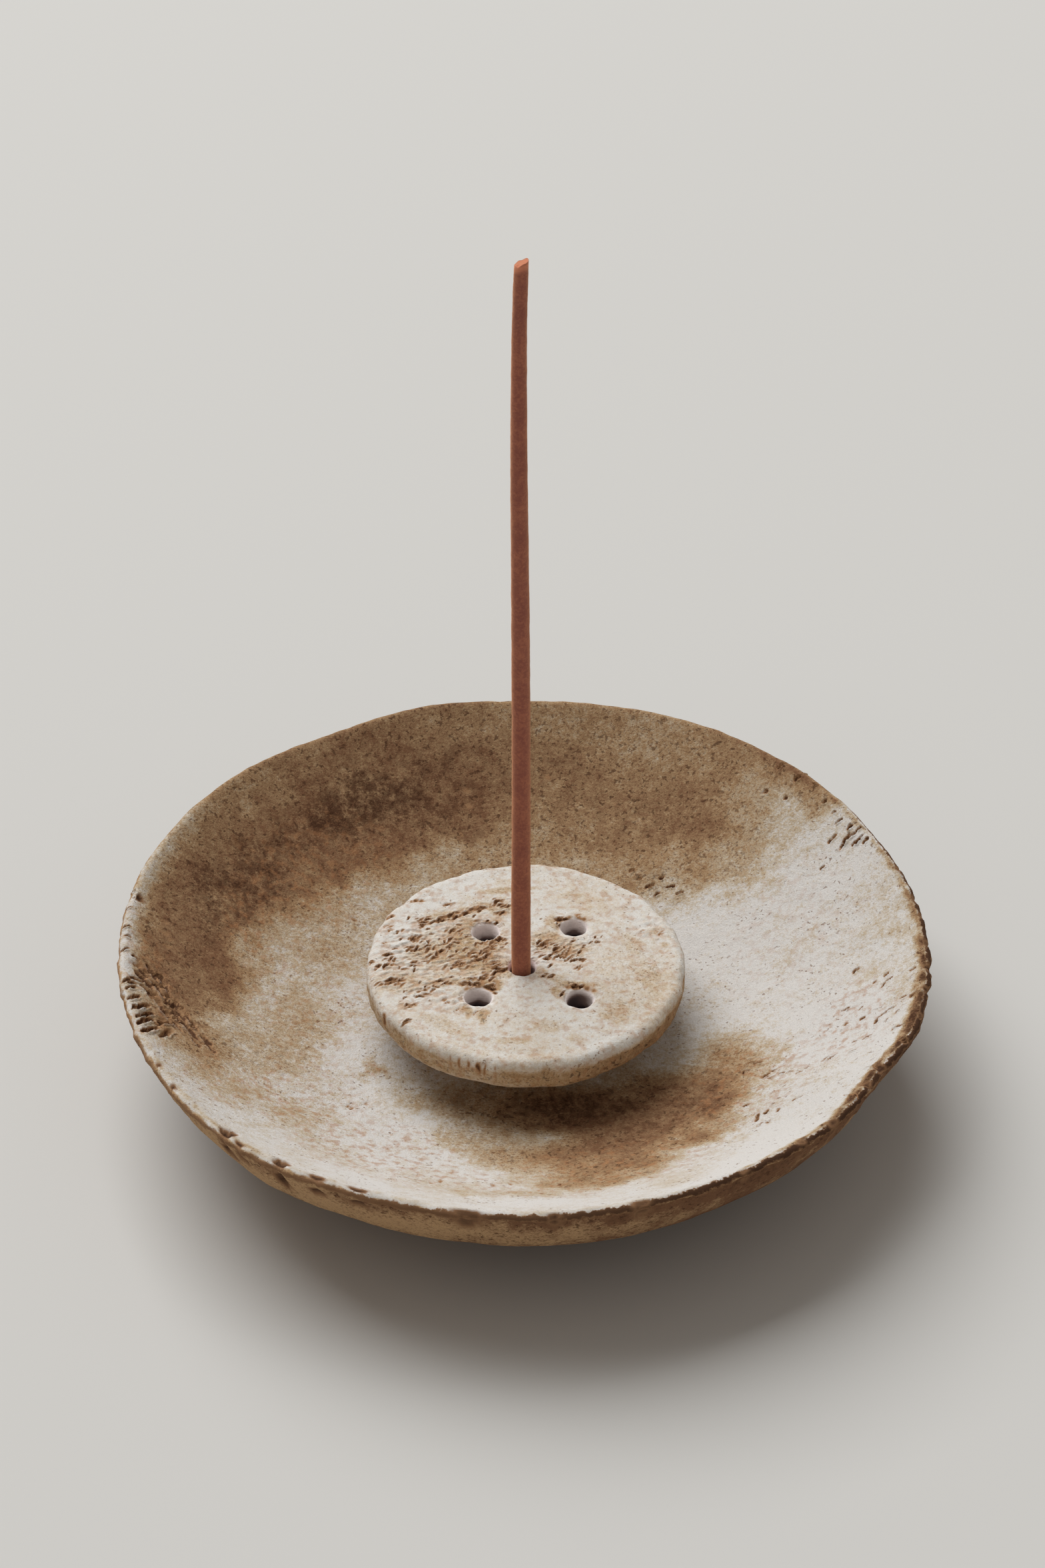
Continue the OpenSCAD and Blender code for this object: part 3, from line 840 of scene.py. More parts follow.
# Crust torn up behind the holes
CRUST_CLUSTERS = (
    (-7.6, -4.5, 1.2, 0.4, 0, 6, 0.6, 10), (-4.6, -5.2, 0.9, 0.6, -25, 5, 0.5, -20),
    (-3, -1.2, 1, 0.5, 10, 4, 0.6, 15), (5.6, 9.3, 1.2, 0.4, 0, 5, 0.4, 10),
    (4.3, 8.2, 0.4, 1, 10, 3, 0.4, 60), (-5.2, 8.5, 1.2, 0.4, -10, 4, 0.34, 10),
    (-3.4, 5, 1, 0.6, 10, 5, 0.5, 25), (6.8, -5.1, 1.5, 0.3, 0, 7, 0.34, 10),
    (4.9, -6.4, 0.3, 0.8, 0, 3, 0.34, 60),
)

# Brown stain round the torn places of the top
TORN_STAINS = (
    (-11.2, 2.2, 3.4, 2.6, 5, 0.42), (-6.2, 3.4, 3.4, 2.4, 10, 0.44), (-6, -0.2, 3.2, 2.2, 0, 0.46),
    (-3.4, -2, 2.4, 1.6, 30, 0.4), (-9, 6, 1.6, 2, 30, 0.4), (-16.4, 2, 2.4, 1.6, 0, 0.2),
    (-16.6, -4.6, 3, 2, 10, 0.26), (-12, 9.4, 4, 1.2, 18, 0.42), (-7.4, 11.2, 3.4, 1, 20, 0.42),
    (-3.6, 11.4, 1.6, 2.4, 0, 0.4), (-3, 15.4, 4.5, 0.6, 8, 0.4), (-5, 17, 4.5, 0.5, 4, 0.26),
    (-14, 13, 3, 0.8, 20, 0.24), (2.8, 4.4, 2.4, 2.2, 20, 0.5), (5.8, 2.2, 3, 1.4, 10, 0.4),
    (2.8, -2.8, 3, 1, -30, 0.34), (-6.8, -4.4, 2.6, 0.7, 0, 0.8), (-4.2, -5.4, 1, 1.6, -30, 0.8),
    (6.8, -4.9, 2.4, 0.6, 0, 0.75), (4.4, -6.6, 0.7, 1.2, 0, 0.55), (4.2, 8.2, 1, 1.8, 30, 0.55),
    (-8, 8.2, 0.8, 1.2, 30, 0.4), (-7.8, -10, 0.6, 2, 0, 0.5), (-5.8, -11.4, 0.6, 1.8, 0, 0.6),
    (-11.4, -4.6, 1.8, 0.8, 20, 0.34), (-15.8, -9.3, 1.2, 0.7, 20, 0.34), (12.4, -10.4, 2, 1.6, 60, 0.34),
    (10.4, -11.6, 0.9, 0.9, 0, 0.26), (14.4, 3.4, 1.2, 2.4, 20, 0.22), (17.6, 6.4, 0.6, 0.6, 0, 0.36),
    (18.8, 3.6, 0.5, 0.6, 0, 0.34), (16.5, -3, 1.4, 3, 10, 0.22), (14, -4, 6, 9, 0, 0.22),
    (-10, 2, 10, 7, 10, 0.12), (3, -13.5, 2, 1.2, 0, 0.26), (-2, -16.5, 3, 1, 0, 0.22),
    (6.5, -16, 1, 0.8, 0, 0.3), (-12, -12.5, 3, 1.2, -30, 0.26), (-9, -15, 2, 0.8, -20, 0.22),
    (10, 12, 3, 1.6, -30, 0.12), (6, 14.4, 2, 0.8, 0, 0.2),
)

# Upright gashes in the disc's side: (degree, half width, depth)
SIDE_GASHES = (
    (-118, 0.22, 0.08), (-114.6, 0.3, 0.12), (-111, 0.26, 0.12), (-107, 0.4, 0.18), (-104.8, 0.24, 0.12),
    (-101, 0.24, 0.08), (-12, 0.3, 0.16), (-15.5, 0.36, 0.2), (-8, 0.26, 0.14), (-4, 0.22, 0.1),
    (-151, 0.5, 0.14),
)

# Where the disc strays from a true, evenly rounded one: (degree, outwards, squareness of
# its upper edge), in mm
DISC_STRAYS = (
    (0, 0.25, 0.3), (45, 0.3, 0.25), (90, 0.5, 0.32), (135, 0.45, 0.28), (180, 0.4, 0.15), (225, 0.1, 0.35),
    (270, 0, 0.45), (315, 0, 0.4),
)


def holder_outline(holder):
    """The holder's outline in millimetres, from its foot to the middle of its top."""
    edge = holder.edge / MM
    boss = holder.boss / MM
    under = DISC_TOP - holder.disc / MM
    corner, fillet = 0.7, 1.5
    outline = [(0.0, SEAT_HEIGHT)]
    outline += arc((boss - corner, SEAT_HEIGHT + corner), corner, -90, 0, 4)
    outline += arc((boss + fillet, under - fillet), fillet, 180, 90, 6)
    outline += arc((DISC_RADIUS - edge, under + edge), edge, -90, 0, 8)
    outline += arc((DISC_RADIUS - edge, DISC_TOP - edge), edge, 0, 90, 8)
    return outline + [(0.0, DISC_TOP)]


def hole_outline(radius, flare):
    """A cutter for one hole: a shaft right through, and a mouth that flares softly."""
    beyond = 1.5
    outline = [(0.0, SEAT_HEIGHT - beyond), (radius, SEAT_HEIGHT - beyond)]
    curve = 2 * flare
    outline += arc((radius + curve, DISC_TOP - curve), curve, 180, 118, 7)
    last = outline[-1]
    return outline + [(last[0] + 0.5, DISC_TOP + beyond), (0.0, DISC_TOP + beyond)]


def pierced_blank(holder):
    """The disc and boss as one even mesh, with its five holes cut."""
    blank = as_object("clay_stick_holder", spun(holder_outline(holder), HOLDER_TURNS))
    cutter_bm = bmesh.new()
    for x, y in HOLES:
        one = spun(hole_outline(HOLE_RADIUS, holder.flare / MM), HOLE_TURNS)
        bmesh.ops.translate(one, verts=one.verts, vec=(x, y, 0))
        mesh = bpy.data.meshes.new("hole")
        one.to_mesh(mesh)
        one.free()
        cutter_bm.from_mesh(mesh)
        bpy.data.meshes.remove(mesh)
    cutter = as_object("hole_cutter", cutter_bm)
    with_modifier(blank, "BOOLEAN", operation="DIFFERENCE", solver="EXACT", object=cutter)
    bpy.data.objects.remove(cutter)
    with_modifier(blank, "REMESH", mode="VOXEL", voxel_size=holder.grain / MM)
    return blank


def refine_top(piece):
    """A finer mesh over the disc's top, and finer still where it is torn and round its holes."""
    places = [
        (x, y, TORN_MARGIN + 0.75 * along, TORN_MARGIN + 0.75 * across, turn)
        for x, y, along, across, turn, _, size, _ in TORN_CLUSTERS
        if size >= LEAST_TEAR
    ]
    reached = HOLE_RADIUS + HOLE_MARGIN
    places += [(x, y, reached, reached, 0) for x, y in HOLES]
    refine(piece, lambda middles: middles[:, 2] > DISC_TOP - FINE_DEPTH)
    refine(piece, lambda middles: middles[:, 2] > DISC_TOP - FINER_DEPTH, places)


def scales(points, seed):
    """A flaky relief whose bumps lean over towards the viewer, and how shaded each dip is."""
    turned = points @ np.array([[0.96, -0.28, 0], [0.28, 0.96, 0], [0, 0, 1]])
    grid = turned / np.array([1.0, 0.55, 1.0])
    grid[:, 1] += 0.5 * rough(grid, 1.0, seed) + 0.5 * rough(points, 2.4, seed + 1)
    field = rough(grid, 1.0, seed) + 0.45 * rough(grid, 0.42, seed + 2)
    return field, ease(field, 0.0, -0.55)


def round_holes(points, top_drop):
    """How far each point lies in a hole, at a mouth, and on a mouth's far and near lip."""
    in_hole, mouth, far_lip, near_lip = (np.zeros(len(points)) for _ in range(4))
    for x, y in HOLES:
        far = np.hypot(points[:, 0] - x, points[:, 1] - y)
        beyond = points[:, 1] - y
        lip = (abs(x) > 2) * ease(far, HOLE_RADIUS + 1.3, HOLE_RADIUS + 0.7)
        far_lip = np.maximum(far_lip, lip * ease(beyond, 0.6, 1.6))
        near_lip = np.maximum(near_lip, lip * ease(beyond, -0.6, -1.6))
        shaft = ease(far, HOLE_RADIUS + 1.0, HOLE_RADIUS + 0.35)
        in_hole = np.maximum(in_hole, shaft * top_drop)
        mouth = np.maximum(mouth, ease(far, HOLE_RADIUS + 1.5, HOLE_RADIUS + 0.6))
    return in_hole, mouth, far_lip, near_lip


def gashed(points, out, around):
    """Depth of the gashes in the disc's side at each point."""
    gashes = np.zeros(len(points))
    stray = 0.22 * rough(points, 0.9, 41)
    for degree, half, cut in SIDE_GASHES:
        across = np.radians(off_by(around, degree)) * out + stray
        gashes = np.maximum(gashes, cut * ease(np.abs(across), half, half * 0.2))
    return gashes


def sculpt_holder(piece, holder):
    """Tears, drags and wears the holder's surface."""
    mesh = piece.data
    points, normals = points_and_normals(mesh)
    out, around = polar(points)
    around = np.degrees(around)
    high = points[:, 2]
    top = ease(normals[:, 2], 0.3, 0.8) * ease(high, DISC_TOP - 1.2, DISC_TOP - 0.5)
    side = ease(out, DISC_RADIUS - 1.6, DISC_RADIUS - 0.3) * ease(high, 11.5, 13.0)
    standing = ease(high, SEAT_HEIGHT + 0.2, SEAT_HEIGHT + 1.5)
    sunk = ease(high, DISC_TOP - 0.12, DISC_TOP - 0.5)
    in_hole, mouth, far_lip, near_lip = round_holes(points, sunk)

    lumps = holder.lumps / MM
    relief = lumps * rough(points, 6.0, 31) + 0.5 * lumps * rough(points, 2.2, 32)
    relief += 0.02 * rough(points * np.array([0.45, 1.5, 1.0]), 1.1, 33) * top
    relief += side * (0.30 * rough(points, 3.4, 34) + 0.12 * rough(points, 1.0, 35))
    relief += mouth * (1 - in_hole) * 0.16 * rough(points, 1.0, 46)
    relief += mouth * in_hole * 0.45 * rough(points, 1.3, 48)
    tear = holder.tear / MM
    scoops = scattered(TORN_CLUSTERS, 36, tear, (0.50, 0.80))
    scoops += scattered(CRUST_CLUSTERS, 61, 1.6 * tear, (0.8, 1.2))
    deep, lips, dark = (part * top * (1 - in_hole) for part in torn(points, scoops, 0.22, 0.9, 36))
    scaly, shut = scales(points, 64)
    zone = paint(points, [(*row[:5], 0.9) for row in TORN_CLUSTERS + CRUST_CLUSTERS], 0.8) * top
    zone *= 1 - in_hole
    gashes = gashed(points, out, around)
    gashes *= side * ease(high, 14.6, 15.4) * ease(high, 17.0, 16.4)
    relief = relief * (1 - 0.7 * in_hole) * standing + 0.45 * lips - deep - 0.5 * gashes
    relief += 0.9 * tear * scaly * zone
    round_edge = 2 * np.clip(normals[:, 2], 0, 1) * np.hypot(normals[:, 0], normals[:, 1])
    round_edge *= ease(out, DISC_RADIUS - 3.0, DISC_RADIUS - 1.6)
    relief += ring_value(around, DISC_STRAYS, 2) * round_edge
    moved = points + normals * relief[:, None]
    spread = 1 + ring_value(around, DISC_STRAYS, 1) / DISC_RADIUS * ease(out, 15.5, DISC_RADIUS)
    moved[:, :2] *= spread[:, None]
    moved[:, :2] += HOLDER_CENTRE
    move_points(mesh, moved)

    stain = paint(points + 0.6 * wander(points, 1.6, 43), TORN_STAINS)
    stain = 0.11 + 0.72 * stain * ease(high, DISC_TOP - 2.2, DISC_TOP - 0.6)
    height = high + 0.5 * rough(points, 2.5, 45)
    middle = ease(height, 16.6, 15.6) * ease(height, 13.2, 14.2)
    right = ease(points[:, 0], -8.0, 14.0)
    low = (0.40 + 0.25 * right) * middle + (0.16 + 0.40 * right) * ease(height, 14.4, 13.2)
    margin = ease(out, 15.0, 19.0) * ease(np.abs(around - 160.0), 75.0, 45.0)
    wash_and_painted_light = stain * (1 - 0.7 * margin) - 0.12 * margin * top + low * ease(out, 17.0, 19.5)
    # Painted highlight: less stain on the raised lips, so they read as lit
    wash_and_painted_light = wash_and_painted_light - 0.6 * lips
    crumbs = np.clip(0.4 + 1.6 * rough(points, 0.8, 71), 0, 1) * (1 - in_hole)
    # Painted highlight on the raised lips and on the tops of the scales
    flakes = (1.5 * lips + 0.3 * ease(scaly, 0.25, 0.7) * zone) * (1 - in_hole)
    # Painted shade in the holes: darker with depth, in the listed places, and a little on walls that face
    # the back
    far_down = ease(high + 0.5 * rough(points, 1.0, 47), DISC_TOP - 1.9, DISC_TOP - 3.1)
    shades = paint(points, HOLE_SHADES) * ease(high, DISC_TOP - 0.5, DISC_TOP - 1.6)
    gashes *= ease(around, -90.0, -98.0)
    facing_back = ease(normals[:, 1], 0.1, 0.6)
    soot = np.maximum(np.maximum(far_down, shades), 0.14 * facing_back)
    store(
        mesh,
        wash=wash_and_painted_light * (1 - in_hole),
        torn=deep / 0.22 + 0.8 * shut * zone,
        # Painted highlight on raised lips and flakes, and on the near lip of each hole
        chalk=flakes + 0.8 * near_lip * crumbs,
        # hollow: painted shade under each scoop's far lip and on the far side of each hole's mouth, broken
        # up by crumbs, with the real brown of the side gashes
        hollow=1.05 * dark + 0.75 * far_lip * crumbs + gashes / 0.16,
        soot=soot * in_hole,
        # Walls facing the back get less of the lining, which darkens them as painted shade
        lining=in_hole * (1 - 0.5 * facing_back),
        outside=ease(high, 13.0, 12.4) * (1 - in_hole),
    )


def build_holder(holder):
    """The stick holder as one pierced and sculpted mesh."""
    piece = pierced_blank(holder)
    refine_top(piece)
    sculpt_holder(piece, holder)
    return piece


# ---- Incense stick ----

STICK_SIDES = 48
STICK_RINGS = 330
# Length of the snapped tip, and the slope of its break
SNAP_LENGTH = 2.6
SNAP_SLOPE = 0.42

# How the stick runs: (share of its height, to the right, to the viewer's side, diameter)
STICK_WAY = (
    (0, -0.1, 0, 2.5), (0.08, -0.2, 0.03, 2.56), (0.13, -0.24, 0.04, 2.68), (0.22, -0.22, 0.03, 2.54),
    (0.35, -0.18, 0.02, 2.44), (0.55, -0.26, 0, 2.36), (0.78, -0.48, 0.02, 2.1), (0.92, -0.44, 0, 1.84),
    (1, -0.16, 0, 1.74),
)


def smooth_way(share, column):
    """A smooth curve through the stick's listed points."""
    shares, values = [row[0] for row in STICK_WAY], [row[column] for row in STICK_WAY]
    fine = np.linspace(0, 1, 61)
    return np.interp(share, fine, smoothed(np.interp(fine, shares, values), False))


def build_stick(stick):
    """The stick: a turned rod, bowed, gritty, and snapped off on the slant."""
    tip = STICK_WAY[-1][3] / 2
    low, high = STICK_LOW.z / MM, STICK_HIGH.z / MM
    rows = [low + (high - low) * step / STICK_RINGS for step in range(STICK_RINGS + 1)]
    foot = STICK_WAY[0][3] / 2
    outline = [(0.0, low), (foot * 0.5, low), (foot * 0.86, low)]
    outline += [(float(smooth_way((z - low) / (high - low), 3)) / 2, z) for z in rows[1:]]
    outline += [(tip * share, high) for share in (0.85, 0.7, 0.5, 0.3, 0.15, 0.0)]
    piece = as_object("stick_of_incense", spun(outline, STICK_SIDES))
    mesh = piece.data
    points, normals = points_and_normals(mesh)
    share = (points[:, 2] - low) / (high - low)
    relief = 0.035 * rough(points, 2.2, 51) + 0.022 * rough(points, 0.55, 52)
    relief *= ease(points[:, 2], low, low + 0.6)
    moved = points + normals * relief[:, None]
    moved[:, 0] += stick.bow * smooth_way(share, 1)
    moved[:, 1] -= stick.bow * smooth_way(share, 2)
    snapped = ease(points[:, 2], high - SNAP_LENGTH, high)
    splinters = rough(points * np.array([1, 1, 0.05]), 0.5, 53)
    slope = (points[:, 0] - tip) * SNAP_SLOPE + 0.16 * splinters
    moved[:, 2] += snapped * np.minimum(slope, 0.0)
    moved[:, :2] += STICK_CENTRE
    move_points(mesh, moved)
    store(mesh, broken=ease(share, 0.988, 0.997))
    return piece


# ---- Materials ----

# Browns of bare clay, from its borders to its middle: burnt on the rim's edge, rusty in the
# marks cut in the dish, and in the torn hollows of the holder, where they also paint the shade under each
# scoop's far lip and on the far side of each hole's mouth
BARE_EDGE = ((0.27, 0.145, 0.075), (0.085, 0.042, 0.024))
MARK_BROWN = ((0.40, 0.225, 0.115), (0.110, 0.052, 0.028))
HOLLOW_BROWN_AND_SHADE = ((0.42, 0.235, 0.12), (0.125, 0.056, 0.027))

# Painted shade inside the holes, from its border to its middle
HOLE_DARK = ((0.30, 0.215, 0.19), (0.075, 0.056, 0.060))

# Radius in mm at which a pattern drawn outwards keeps its width, and how much it is stretched
RING_SCALE = 42.0
DRAWN_OUT = 0.90

# Inputs of the slip's node group, each set from the settings of the same name
SLIP_COLOURS = ("Slip", "Warm slip", "Ochre", "Wash", "Iron", "Rust")


class Wiring:
    """A short way to add and join nodes in one node tree."""

    def __init__(self, tree):
        self.tree = tree

    def feed(self, socket, value):
        """Links the socket to another one, or sets it to a colour or a number."""
        if isinstance(value, bpy.types.NodeSocket):
            self.tree.links.new(value, socket)
        elif socket.type == "RGBA":
            socket.default_value = (*value, 1.0)
        else:
            socket.default_value = value

    def add(self, kind, inputs=(), **settings):
        node = self.tree.nodes.new(kind)
        for name, value in settings.items():
            setattr(node, name, value)
        for name, value in dict(inputs).items():
            self.feed(node.inputs[name], value)
        return node

    def maths(self, operation, first, *others):
        """The values, put together from the left by one operation."""
        for other in others:
            node = self.add("ShaderNodeMath", {0: first, 1: other}, operation=operation)
            first = node.outputs[0]
        return first

    def times(self, *values):
        return self.maths("MULTIPLY", *values)

    def plus(self, *values):
        return self.maths("ADD", *values)

    def span(self, value, low, high, smooth=True):
        """0 at low, 1 at high."""
        ends = {"Value": value, "From Min": low, "From Max": high}
        kind = "SMOOTHSTEP" if smooth else "LINEAR"
        return self.add("ShaderNodeMapRange", ends, interpolation_type=kind).outputs["Result"]

    def blend(self, share, first, second):
        """The first colour where share is 0, and the second where it is 1."""
        node = self.add("ShaderNodeMix", {0: share, 6: first, 7: second}, data_type="RGBA")
        return node.outputs[2]

    def darkened(self, share, colour, brown, dark):
        """The colour, turned brown over the first half of share and dark over the second."""
        turned = self.blend(self.span(share, 0.0, 0.5, False), colour, brown)
        return self.blend(self.span(share, 0.5, 1.0, False), turned, dark)

    def noise(self, vector, scale, detail=3.0, roughness=0.55):
        looks = {"Vector": vector, "Scale": scale, "Detail": detail, "Roughness": roughness}
        return self.add("ShaderNodeTexNoise", looks).outputs["Fac"]

    def attribute(self, name):
        return self.add("ShaderNodeAttribute", attribute_name=name).outputs["Fac"]


def group_of(name, takes, gives):
    """A new shader node group: its wiring, what it takes and what it gives. takes and gives
    list the labels of each kind of socket."""
    tree = bpy.data.node_groups.new(name, "ShaderNodeTree")
    for way, sockets in (("INPUT", takes), ("OUTPUT", gives)):
        for kind, labels in sockets.items():
            for label in labels:
                tree.interface.new_socket(label, in_out=way, socket_type=kind)
    wires = Wiring(tree)
    return wires, wires.add("NodeGroupInput").outputs, wires.add("NodeGroupOutput").inputs


def stippled_slip_group():
    """Slip over a brown wash: the stain breaks up into blotches and grains, with rust spots."""
    wires, at, end = group_of(
        "Stippled slip",
        {
            "NodeSocketVector": ("Vector", "Drawn vector"),
            "NodeSocketColor": SLIP_COLOURS,
            "NodeSocketFloat": ("Stain", "Dark", "Spots", "Grain"),
        },
        {"NodeSocketColor": ("Color",), "NodeSocketFloat": ("Height",)},
    )
    where, drawn = at["Vector"], at["Drawn vector"]

    def centred(value, strength):
        return wires.times(wires.maths("SUBTRACT", value, 0.5), strength)

    def dotted(under, scale, detail, low, high, ink, *shares):
        dots = wires.span(wires.noise(where, scale, detail, 0.6), low, high)
        return wires.blend(wires.times(dots, *shares), under, at[ink])

    clouds = wires.noise(where, 0.09)
    blotches = wires.noise(drawn, 0.42, 4.0, 0.62)
    mottle = wires.noise(where, 1.1, 4.0, 0.7)
    grain = wires.noise(where, 3.4, 3.0, 0.75)
    fine = wires.noise(where, 9.0, 2.0, 0.6)
    uneven = wires.plus(centred(blotches, 0.6), centred(mottle, 0.9), centred(grain, 0.8))
    amount = wires.plus(at["Stain"], centred(clouds, 0.55), wires.times(uneven, at["Grain"]))
    deep = wires.plus(amount, wires.times(at["Dark"], 0.75), centred(blotches, 0.9))

    colour_now = at["Slip"]
    for ink, low, high in (("Warm slip", 0.0, 0.32), ("Ochre", 0.28, 0.62), ("Wash", 0.58, 1.02)):
        colour_now = wires.blend(wires.span(amount, low, high, False), colour_now, at[ink])
    colour_now = wires.blend(wires.span(deep, 1.10, 1.90), colour_now, at["Iron"])
    colour_now = dotted(colour_now, 0.5, 4.0, 0.47, 0.60, "Iron", 0.75, at["Dark"])

    # Dark specks, where the stain is thick
    thick, thin = wires.span(at["Stain"], 0.15, 0.75), wires.span(at["Stain"], 0.10, 0.45)
    colour_now = dotted(colour_now, 1.5, 2.0, 0.585, 0.64, "Iron", thick, 0.72)
    colour_now = dotted(colour_now, 2.7, 2.0, 0.56, 0.62, "Wash", thin, 0.55)

    # Rust gathers in spots, and stains the slip pale orange round them.
    spots = wires.noise(where, 0.95, 2.0, 0.5)
    wide = wires.times(wires.span(spots, 0.48, 0.62), wires.times(at["Spots"], 0.36))
    tight = wires.times(wires.span(spots, 0.60, 0.65), wires.times(at["Spots"], 0.62))
    colour_now = wires.blend(wires.maths("MAXIMUM", wide, tight), colour_now, at["Rust"])

    # Iron grains as fine as pepper
    gathered = wires.span(wires.noise(where, 0.22, 2.0, 0.6), 0.40, 0.62)
    gathered = wires.plus(wires.times(gathered, 0.55), 0.15)
    pepper = wires.times(wires.span(wires.noise(where, 2.0, 1.0, 0.5), 0.66, 0.71), gathered)
    colour_now = wires.blend(pepper, colour_now, at["Wash"])

    # A dusting of light and dark, as fine as the clay
    light = wires.plus(wires.times(centred(fine, 0.75), at["Grain"]), 1.0)
    dusted = wires.add("ShaderNodeHueSaturation", {"Color": colour_now, "Value": light})
    height = wires.plus(wires.times(mottle, 0.6), wires.times(grain, 0.4))
    height = wires.plus(height, wires.times(fine, 0.15), wires.times(pepper, -0.3))
    wires.feed(end["Color"], dusted.outputs["Color"])
    wires.feed(end["Height"], wires.times(height, at["Grain"]))
    return wires.tree


def drawn_outwards(wires, where):
    """Coordinates whose patterns stretch outwards from the Z axis, without a seam."""
    parts = wires.add("ShaderNodeSeparateXYZ", {"Vector": where}).outputs
    flat = wires.add("ShaderNodeCombineXYZ", {"X": parts["X"], "Y": parts["Y"]}).outputs[0]
    way = wires.add("ShaderNodeVectorMath", {0: flat}, operation="NORMALIZE").outputs[0]
    out = wires.add("ShaderNodeVectorMath", {0: flat}, operation="LENGTH").outputs["Value"]
    scaled = {0: way, "Scale": RING_SCALE}
    ring = wires.add("ShaderNodeVectorMath", scaled, operation="SCALE").outputs[0]
    rise = wires.add("ShaderNodeCombineXYZ", {"Z": wires.times(out, DRAWN_OUT)}).outputs[0]
    return wires.add("ShaderNodeVectorMath", {0: ring, 1: rise}).outputs[0]


def new_material(name, roughness, specular):
    """A material with its wiring, its Principled shader and its millimetre coordinates."""
    material = bpy.data.materials.new(name)
    material.use_nodes = True
    wires = Wiring(material.node_tree)
    shader = material.node_tree.nodes["Principled BSDF"]
    shader.inputs["Roughness"].default_value = roughness
    shader.inputs["Specular IOR Level"].default_value = specular
    place = wires.add("ShaderNodeTexCoord").outputs["Object"]
    in_mm = wires.add("ShaderNodeMapping", {"Vector": place, "Scale": (1000, 1000, 1000)})
    return material, wires, shader, in_mm.outputs["Vector"]


def surface(wires, shader, colour_now, height, distance_mm, strength):
    """Gives the shader its colour, and a relief whose height is in shares of distance_mm."""
    relief = {"Height": height, "Distance": distance_mm * MM, "Strength": strength}
    wires.feed(shader.inputs["Base Color"], colour_now)
    wires.feed(shader.inputs["Normal"], wires.add("ShaderNodeBump", relief).outputs["Normal"])


def slip_colours(settings):
    """The colours of a piece's slip, by the labels of the slip group's inputs."""
    names = [(label, label.lower().replace(" ", "_")) for label in SLIP_COLOURS]
    return {label: getattr(settings, name) for label, name in names}


def clay_dish_material(dish, slip_group):
    """Off-white slip over brown clay, stained and worn, with a bare dark edge."""
    material, wires, shader, where = new_material("worn_slip_on_stoneware", 0.92, 0.08)
    names = ("hollow", "outside", "lip", "edge", "wash")
    hollow, outside, lip, edge, wash = (wires.attribute(name) for name in names)
    colours = slip_colours(dish)
    for label in ("Slip", "Warm slip", "Ochre"):
        colours[label] = wires.blend(outside, colours[label], dish.clay)
    inputs = {
        "Vector": where,
        "Drawn vector": drawn_outwards(wires, where),
        **colours,
        "Stain": wires.plus(wash, wires.times(outside, 0.40), 0.10 - WASH_BASE),
        "Dark": wires.attribute("iron"),
        "Spots": wires.attribute("rust"),
        "Grain": wires.attribute("grain"),
    }
    slip = wires.add("ShaderNodeGroup", inputs, node_tree=slip_group).outputs
    # White on the scraped ridges, partly painted highlight on their lit side
    colour_now = wires.blend(wires.attribute("chalk"), slip["Color"], dish.chalk)

    # The rim's edge is bare and dark, with a ragged border.
    ragged = wires.noise(where, 0.8, 4.0, 0.7)
    stray = wires.times(wires.maths("SUBTRACT", ragged, 0.5), 0.7)
    across = wires.plus(lip, stray, wires.times(edge, edge, 0.26))
    line = wires.times(wires.span(across, 0.46, 0.58), wires.span(across, 0.98, 0.76), edge)
    colour_now = wires.darkened(line, colour_now, *BARE_EDGE)
    hollow = wires.times(hollow, wires.span(ragged, 0.30, 0.55))
    colour_now = wires.darkened(hollow, colour_now, *MARK_BROWN)
    colour_now = wires.darkened(wires.attribute("nick"), colour_now, *BARE_EDGE)
    surface(wires, shader, colour_now, slip["Height"], 0.28, 0.9)
    return material


def clay_holder_material(holder, slip_group):
    """Cream slip, brown in its torn places and on its lower edge."""
    material, wires, shader, where = new_material("torn_cream_slip", 0.92, 0.08)
    drawn = wires.add("ShaderNodeMapping", {"Vector": where, "Scale": (2.3, 1.9, 2.2)})
    wash, outside = wires.attribute("wash"), wires.attribute("outside")
    inputs = {
        "Vector": where,
        "Drawn vector": drawn.outputs["Vector"],
        **slip_colours(holder),
        "Stain": wires.plus(wash, wires.times(outside, 0.8)),
        "Dark": 0.0,
        "Spots": 0.7,
        "Grain": 0.75,
    }
    slip = wires.add("ShaderNodeGroup", inputs, node_tree=slip_group).outputs
    stained = wires.times(wires.attribute("torn"), 0.62)
    colour_now = wires.blend(stained, slip["Color"], holder.rust)
    # Painted highlight on raised lips and flakes and on each hole's near lip
    colour_now = wires.blend(wires.attribute("chalk"), colour_now, holder.chalk)
    coat = wires.span(wires.noise(where, 0.9, 4.0, 0.6), 0.52, 0.72)
    coat_colour = wires.blend(coat, holder.lining, [0.88 * part for part in holder.lining])
    colour_now = wires.blend(wires.attribute("lining"), colour_now, coat_colour)
    # Painted shade inside the holes
    colour_now = wires.darkened(wires.attribute("soot"), colour_now, *HOLE_DARK)
    # Torn hollows turn brown, then dark as painted shade under each scoop's far lip and on the far side of
    # each hole's mouth
    broken = wires.span(wires.noise(where, 1.6, 3.0, 0.6), 0.25, 0.50)
    shaded = wires.times(wires.attribute("hollow"), broken)
    colour_now = wires.darkened(shaded, colour_now, *HOLLOW_BROWN_AND_SHADE)
    surface(wires, shader, colour_now, slip["Height"], 0.24, 0.9)
    return material


